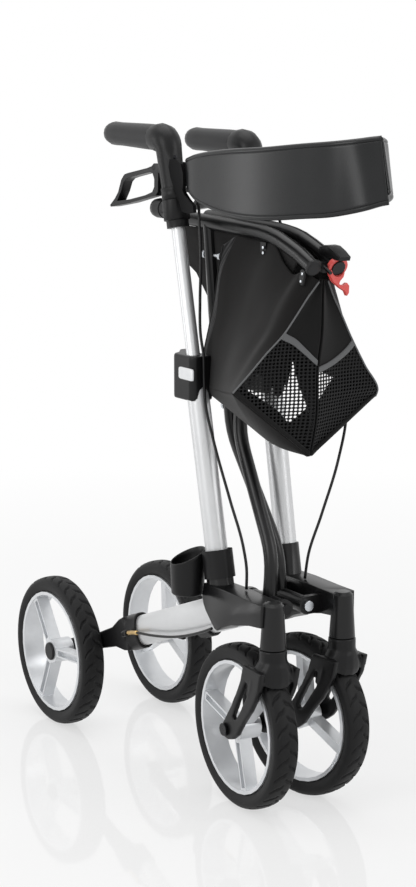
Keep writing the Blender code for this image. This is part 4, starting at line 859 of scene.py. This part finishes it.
# Seat: two panels of the same cloth, sewn together in the middle. They hang folded from the rails,
# their rear edge is cut in a curve up to the rails' ends, and their front hem slants back.
SEAT_REAR = 0.2195
SEAT_LENGTH = 0.3065
HEM_SLANT, HEM_CURVE = 0.054, 0.6
# The cloth starts UNDER_RAIL below the rail's line and SEAT_OUT from the middle plane, and at
# SEAT_DROP below that line it has come in by SEAT_IN.
UNDER_RAIL = 0.0103
SEAT_OUT, SEAT_IN, SEAT_DROP = 0.018, 0.0155, 0.1995
# The rail's line and the cloth's lower edge, as (forward, height)
RAIL_LINE = [
    (SEAT_REAR, 0.795), (0.32, 0.792), (0.387, 0.7895), (0.441, 0.787), (0.483, 0.78),
    (0.526, 0.765),
]
SEAT_LOW = [
    (SEAT_REAR, 0.7531), (0.2436, 0.7309), (0.2675, 0.7188), (0.3, 0.68), (0.34, 0.625),
    (0.382, 0.5935), (0.441, 0.589), (0.483, 0.5815), (0.526, 0.5665),
]
for letter, side in SIDES.items():
    down = np.linspace(0, 1, 50)[:, None]
    forward = SEAT_REAR + (SEAT_LENGTH - HEM_SLANT * down ** HEM_CURVE) * np.linspace(0, 1, 90)
    rail, low = (np.interp(forward, *np.array(line).T) for line in (RAIL_LINE, SEAT_LOW))
    top = rail - UNDER_RAIL
    height = top + (low - top) * down
    away = SEAT_OUT - SEAT_IN * (rail - height) / SEAT_DROP + folds(50, 90, 0.0008, 0.7)
    panel = np.stack([away, forward, height], axis=-1)
    seat = cloth(f"seat_cloth_{letter}", placed(panel, side), bag_cloth, 0.0016)
    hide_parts(f"seat_panel_{letter}")
    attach(seat, f"seat_{letter}")


# Back strap: foam in smooth black imitation leather, one half on each side, with a sewn line 6 mm
# inside its edges. Its ends are screwed to the handles, and it is folded in the middle.
STRAP_HALF = 0.0045
SEWN_INSET, SEWN_DEPTH, SEWN_WIDTH = 0.006, 0.0011, 0.0006
# The left half's lower edge rises by LEFT_RISE over a stretch, and the half bows in by LEFT_BOW, so
# that it lies inside the right one.
LEFT_RISE, LEFT_BOW = 0.0125, 0.01
RISE_START, RISE_STRETCH = 0.3, 0.3
HANDLE_DROP = {"r": 0.0, "l": 0.01}
# Stations from the handle to the fold, as distance from the middle plane, lower and upper edge
# forward, and lower and upper edge's height
STRAP_LINE = [
    (0.0705, 0.34, 0.337, 0.839, 0.8815), (0.074, 0.366, 0.366, 0.8264, 0.888),
    (0.0745, 0.406, 0.406, 0.8165, 0.8935), (0.0725, 0.455, 0.455, 0.8098, 0.898),
    (0.0655, 0.515, 0.515, 0.8088, 0.902), (0.052, 0.578, 0.578, 0.814, 0.908),
    (0.0335, 0.636, 0.633, 0.8205, 0.913), (0.0165, 0.673, 0.657, 0.8295, 0.9165),
    (0.0043, 0.6845, 0.666, 0.8345, 0.9185), (-0.004, 0.6925, 0.674, 0.8365, 0.9195),
]
# Rows of points near an edge, as distances from it
STRAP_RIM = np.array([
    0, 0.0003, 0.001, 0.002, 0.0032, 0.0044, 0.0052, 0.0057, 0.006, 0.0063, 0.0068, 0.0076,
    0.0095,
])
# Imitation leather: a smooth, softly shining black with a shallow grain.
leather = surface(
    "smooth_imitation_leather", "#131415", "#1c1d1e", 35, 1.4, 0.03, rough=0.29, specular=0.33
)


def strap_points(side, drop):
    """The strap's section at each station, as a closed ring of points.

    Its thickness grows from the edges as a half circle's and stays even past them, less a
    bell-shaped dip at the sewn line. It is laid off square to the level line of the strap.
    """
    x, low_forward, high_forward, low, high = curve_through(STRAP_LINE, 110).T
    station = np.linspace(0, 1, len(x))
    if side > 0:
        rise = np.clip((station - RISE_START) / RISE_STRETCH, 0, 1)
        low = low + LEFT_RISE * rise * rise * (3 - 2 * rise)
    tall = (high - low)[:, None]
    rim = STRAP_RIM[-1]
    middle = rim + (tall - 2 * rim) * np.linspace(0, 1, 14)[None, 1:-1]
    lower = np.broadcast_to(STRAP_RIM, (len(x), len(STRAP_RIM)))
    reach = np.hstack([lower, middle, tall - STRAP_RIM[::-1]])
    inset = np.minimum(reach, tall - reach)
    half = STRAP_HALF * np.sqrt(np.clip(1 - np.clip(1 - inset / STRAP_HALF, 0, 1) ** 2, 0, 1))
    half = half - SEWN_DEPTH * np.exp(-(((inset - SEWN_INSET) / SEWN_WIDTH) ** 2))
    half[[0, -1]] *= 0
    share = reach / tall
    forward = low_forward[:, None] + (high_forward - low_forward)[:, None] * share
    height = low[:, None] + reach - drop * (1 - station)[:, None]
    if side > 0:
        x = x - LEFT_BOW * np.sin(np.pi * station) ** 2
    line = placed(np.stack([x, (low_forward + high_forward) / 2, low], axis=1), side)[:, :2]
    along = np.gradient(line, axis=0)
    along /= np.linalg.norm(along, axis=1)[:, None]
    normal = np.stack([along[:, 1], -along[:, 0], np.zeros(len(x))], axis=1)[:, None]
    distance = np.broadcast_to(x[:, None], reach.shape)
    centre = placed(np.stack([distance, forward, height], axis=-1), side)
    outer, inner = centre + half[..., None] * normal, centre - half[..., None] * normal
    section = np.concatenate([outer, inner[:, -2:0:-1]], axis=1)
    # Each half stays on its own side of the middle plane.
    section[..., 0] = side * np.maximum(side * section[..., 0], 0.0002)
    return section


for letter, side in SIDES.items():
    strap = own_mesh(grid_object(
        f"back_strap_{letter}", strap_points(side, HANDLE_DROP[letter]), leather, closed_v=True
    ))
    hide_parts(f"backrest_strap_{letter}")
    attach(strap, f"strap_{letter}")


# Brake cables: steel in a black plastic sheath of 4 mm. Each leaves its handle's housing, hangs in
# a long bow and goes into the side casting, and a lower one runs on to the rear bar.
CABLE_RADIUS = 0.002
CABLE_LINE = {
    "r": [
        (0.064, 0.3108, 0.835), (0.062, 0.326, 0.837), (0.06, 0.342, 0.8296), (0.0615, 0.354, 0.79),
        (0.0625, 0.3589, 0.746), (0.063, 0.3576, 0.6918), (0.0628, 0.3585, 0.645),
        (0.0625, 0.366, 0.615), (0.0625, 0.3668, 0.59), (0.062, 0.37, 0.55), (0.06, 0.3869, 0.503),
        (0.056, 0.4227, 0.4255), (0.052, 0.4499, 0.365), (0.0505, 0.4559, 0.3361),
        (0.05, 0.455, 0.3068),
    ],
    "l": [
        (0.0635, 0.3131, 0.824), (0.062, 0.328, 0.825), (0.062, 0.345, 0.816), (0.076, 0.37, 0.75),
        (0.098, 0.41, 0.66), (0.113, 0.445, 0.59), (0.11, 0.46, 0.535), (0.093, 0.466, 0.473),
        (0.07, 0.46, 0.3971), (0.054, 0.452, 0.34), (0.05, 0.45, 0.3068),
    ],
}
LOWER_CABLE_LINE = [
    (0.0755, 0.4075, 0.244), (0.0765, 0.39, 0.236), (0.0775, 0.3528, 0.2216),
    (0.078, 0.314, 0.2095), (0.081, 0.2494, 0.1967), (0.0825, 0.215, 0.192),
    (0.0825, 0.1975, 0.188), (0.0825, 0.1884, 0.1854),
]
# Sheath plastic: an even black with a quiet shine.
sheath = surface(
    "black_cable_sheath", "#0c0c0d", "#151516", 30, 1.0, 0.02, rough=0.36, specular=0.3
)
for letter, side in SIDES.items():
    for name, line in (("brake", CABLE_LINE[letter]), ("lower", LOWER_CABLE_LINE)):
        path = placed(curve_through(line, 120), side)
        cable = tube(f"{name}_cable_sheath_{letter}", path, CABLE_RADIUS, sheath, (1, 0, 0))
        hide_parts(f"{name}_cable_{letter}")
        if name == "lower":
            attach(cable, f"frame_{letter}")
        else:
            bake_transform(cable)


# Small parts: rivets and tabs on the bag, a cap, a bracket and a catch block at the rails'
# ends, reflectors on the upright brackets, screws, ears and collars on the handles, and brass end
# sleeves on the lower cables.

# A pressed plate's profile from its middle out, as shares of its half width and of its height
PLATE_PROFILE = [
    (0, 1.0), (0.45, 0.99), (0.75, 0.95), (0.9, 0.82), (0.97, 0.6), (1.0, 0.3), (1.0, -0.4),
    (0, -0.4),
]
SLAB_RIM, SLAB_FACE = 0.0012, 0.86
EAR = [
    (0.306, 0.879), (0.3225, 0.88), (0.335, 0.874), (0.341, 0.862), (0.3415, 0.848), (0.34, 0.8385),
    (0.345, 0.8325), (0.356, 0.826), (0.3662, 0.82), (0.368, 0.8105), (0.352, 0.8085),
    (0.338, 0.8105), (0.33, 0.824), (0.32, 0.837), (0.309, 0.854), (0.304, 0.868),
]
RAIL_BRACKET = [
    (0.543, 0.742), (0.543, 0.756), (0.556, 0.756), (0.561, 0.75), (0.559, 0.742),
]
CATCH_BLOCK = [
    (0.531, 0.764), (0.533, 0.7735), (0.545, 0.7765), (0.556, 0.7755), (0.568, 0.77),
    (0.579, 0.763), (0.577, 0.758), (0.565, 0.759), (0.55, 0.76),
]


def pressed_plate(name, centre, normal, material, body, half, height, up=(0, 0, 1), power=2):
    """A plate or button pressed from sheet: a superellipse outline whose rim is rounded down.

    half is its half width and half height. An outline with power 2 is an ellipse, and a higher
    power squares it.
    """
    normal = np.array(normal) / np.linalg.norm(normal)
    across = np.cross(up, normal)
    across /= np.linalg.norm(across)
    up = np.cross(normal, across)
    angle = np.linspace(0, math.tau, 40, endpoint=False)[None]
    reach, rise = np.array(PLATE_PROFILE).T[..., None]
    c, d = np.cos(angle), np.sin(angle)
    u = reach * half[0] * np.sign(c) * np.abs(c) ** (2 / power)
    v = reach * half[1] * np.sign(d) * np.abs(d) ** (2 / power)
    points = (
        np.array(centre) + u[..., None] * across + v[..., None] * up
        + (rise * height * np.ones_like(angle))[..., None] * normal
    )
    made = own_mesh(grid_object(name, points, material, closed_v=True))
    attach(made, body)
    return made


def slab(name, outline, near, far, material, body):
    """A moulded block cut to an outline of (forward, height), from x = near to x = far.

    Its faces are a little smaller than its outline. Where far is the larger, its edges slope in to
    the faces, and where near is, a low rim stands proud of them.
    """
    outline = np.array(outline)
    middle = outline.mean(axis=0)
    x, size = np.array([
        (near, 0), (near, SLAB_FACE), (near + SLAB_RIM, 1), (far - SLAB_RIM, 1), (far, SLAB_FACE),
        (far, 0),
    ]).T
    ring = middle + size[:, None, None] * (outline - middle)
    x = np.broadcast_to(x[:, None, None], (*ring.shape[:2], 1))
    points = placed(np.concatenate([x, ring], axis=-1), 1)
    made = own_mesh(grid_object(name, points, material, closed_v=True))
    made.data.set_sharp_from_angle(angle=math.radians(35))
    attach(made, body)
    return made


# Reflector: glossy white over a shallow pattern. Brass: a warm yellow. The ears' nylon is duller
# than the other mouldings', and the cap is of dull dark rubber.
white_reflector = surface(
    "white_reflector_plastic", "#e4e6e8", "#f1f2f3", 6, 2.2, 0.2, rough=0.18, spread=0.04, coat=0.4
)
brass = surface("brass_ferrule", "#b39462", "#cbb07d", 6, 0.8, 0.01, rough=0.3, metallic=1.0)
matt_nylon = surface(
    "matt_black_nylon", "#0a0a0b", "#111112", 20, 0.9, 0.04, rough=0.7, spread=0.06, specular=0.1
)
rubber_cap = surface(
    "rubber_end_cap", "#161617", "#202021", 10, 0.9, 0.04, rough=0.5, spread=0.06, specular=0.3
)
for letter, side in SIDES.items():
    out, bag = (side, 0, 0), f"bag_{letter}"
    for height in (0.768, 0.761):
        pressed_plate(
            f"tab_rivet_{letter}_{round(height * 1000)}", placed((0.0248, 0.4535, height), side), out,
            zinc, bag, half=(0.0023, 0.0023), height=0.0011,
        )
    pressed_plate(
        f"front_tab_{letter}", placed((0.0262, 0.5467, 0.7365), side), out, nylon, bag,
        half=(0.0058, 0.011), height=0.0018, up=(0, -0.26, 0.97), power=4,
    )
    for forward, height in ((0.5485, 0.7415), (0.5453, 0.7315)):
        pressed_plate(
            f"front_rivet_{letter}_{round(height * 1000)}", placed((0.0278, forward, height), side),
            out, zinc, bag, half=(0.002, 0.002), height=0.001,
        )
    pressed_plate(
        f"bracket_reflector_{letter}", placed((0.079, 0.3475, 0.5905), side), out, white_reflector,
        f"frame_{letter}", half=(0.019, 0.0084), height=0.0018, power=7,
    )
    screw_place = placed((0.0678, 0.30145, 0.8816 - HANDLE_DROP[letter]), side)
    pressed_plate(
        f"housing_screw_{letter}", screw_place, (side * 0.182, -0.97, 0.159), black_zinc,
        f"handle_{letter}", half=(0.003, 0.003), height=0.0012,
    )
    sleeve_path = placed(curve_through(LOWER_CABLE_LINE[-3:], 12), side)
    sleeve = tube(f"cable_ferrule_{letter}", sleeve_path, 0.0033, brass, (1, 0, 0))
    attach(sleeve, f"frame_{letter}")
for letter, side in SIDES.items():
    drop = HANDLE_DROP[letter]
    slab(
        f"strap_ear_{letter}", np.array(EAR) - (0, drop), side * 0.0758, side * 0.0785, matt_nylon,
        f"handle_{letter}",
    )
    ends = placed([(0.0649, 0.2963, 0.822 - drop), (0.0652, 0.2927, 0.84 - drop)], side)
    collar = tube(f"handle_collar_{letter}", ends, 0.0175, nylon, (1, 0, 0), sides=40)
    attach(collar, f"handle_{letter}")
slab("rail_end_bracket", RAIL_BRACKET, -0.004, 0.007, nylon, "seat_l")
pressed_plate(
    "rail_end_cap_r", placed((0.018, 0.559, 0.7498), -1), (0, -0.904, -0.427), rubber_cap,
    "seat_r", half=(0.0112, 0.0112), height=0.0035,
)
slab("rail_catch_block", CATCH_BLOCK, 0.0085, 0.0275, nylon, "seat_l")


# Cane cup: a moulded nylon cup, open at the top, that takes the tip of a cane. Its band holds it on
# the right upright's socket, and its rim slopes down to the outer rear.
CUP_FOOT = 0.2866
RIM_HEIGHT = 0.3385
RIM_RADIUS = 0.0235
# The rim rises by RIM_SLOPE towards the inner front, and by RIM_TILT square to that.
INNER_FRONT, SQUARE_TO_IT = (0.846, -0.534), (0.534, 0.846)
RIM_SLOPE, RIM_TILT = 0.416, 0.105
# The wall from under the foot, up outside, over the rim and down to the floor's middle, as (radius,
# share of the way from foot to rim, drop below that)
CUP_WALL = [
    (0.0, 0.0, 0.0016), (0.021, 0.0, 0.0016), (0.0226, 0.0, 0), (0.023, 0.05, 0), (0.0236, 0.45, 0),
    (0.0243, 0.95, 0), (0.0245, 1.0, 0), (0.024, 1.02, 0), (0.023, 1.02, 0), (0.0224, 1.0, 0),
    (0.0222, 0.9, 0), (0.0212, 0.06, 0), (0.0, 0.05, 0),
]
turn = np.linspace(0, math.tau, 72, endpoint=False)
ring = np.stack([np.cos(turn), np.sin(turn)], axis=1)
rim = RIM_HEIGHT + RIM_RADIUS * (RIM_SLOPE * ring @ INNER_FRONT + RIM_TILT * ring @ SQUARE_TO_IT)
radius, share, drop = np.array(CUP_WALL).T[..., None]
height = CUP_FOOT + share * (rim - CUP_FOOT) - drop
cup_points = np.concatenate(
    [np.array(CUP_AXIS) + radius[..., None] * ring, height[..., None]], axis=-1
)
cup = own_mesh(grid_object("cane_cup", cup_points, nylon, closed_v=True))
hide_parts("cane_cup_r")
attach(cup, "frame_r")
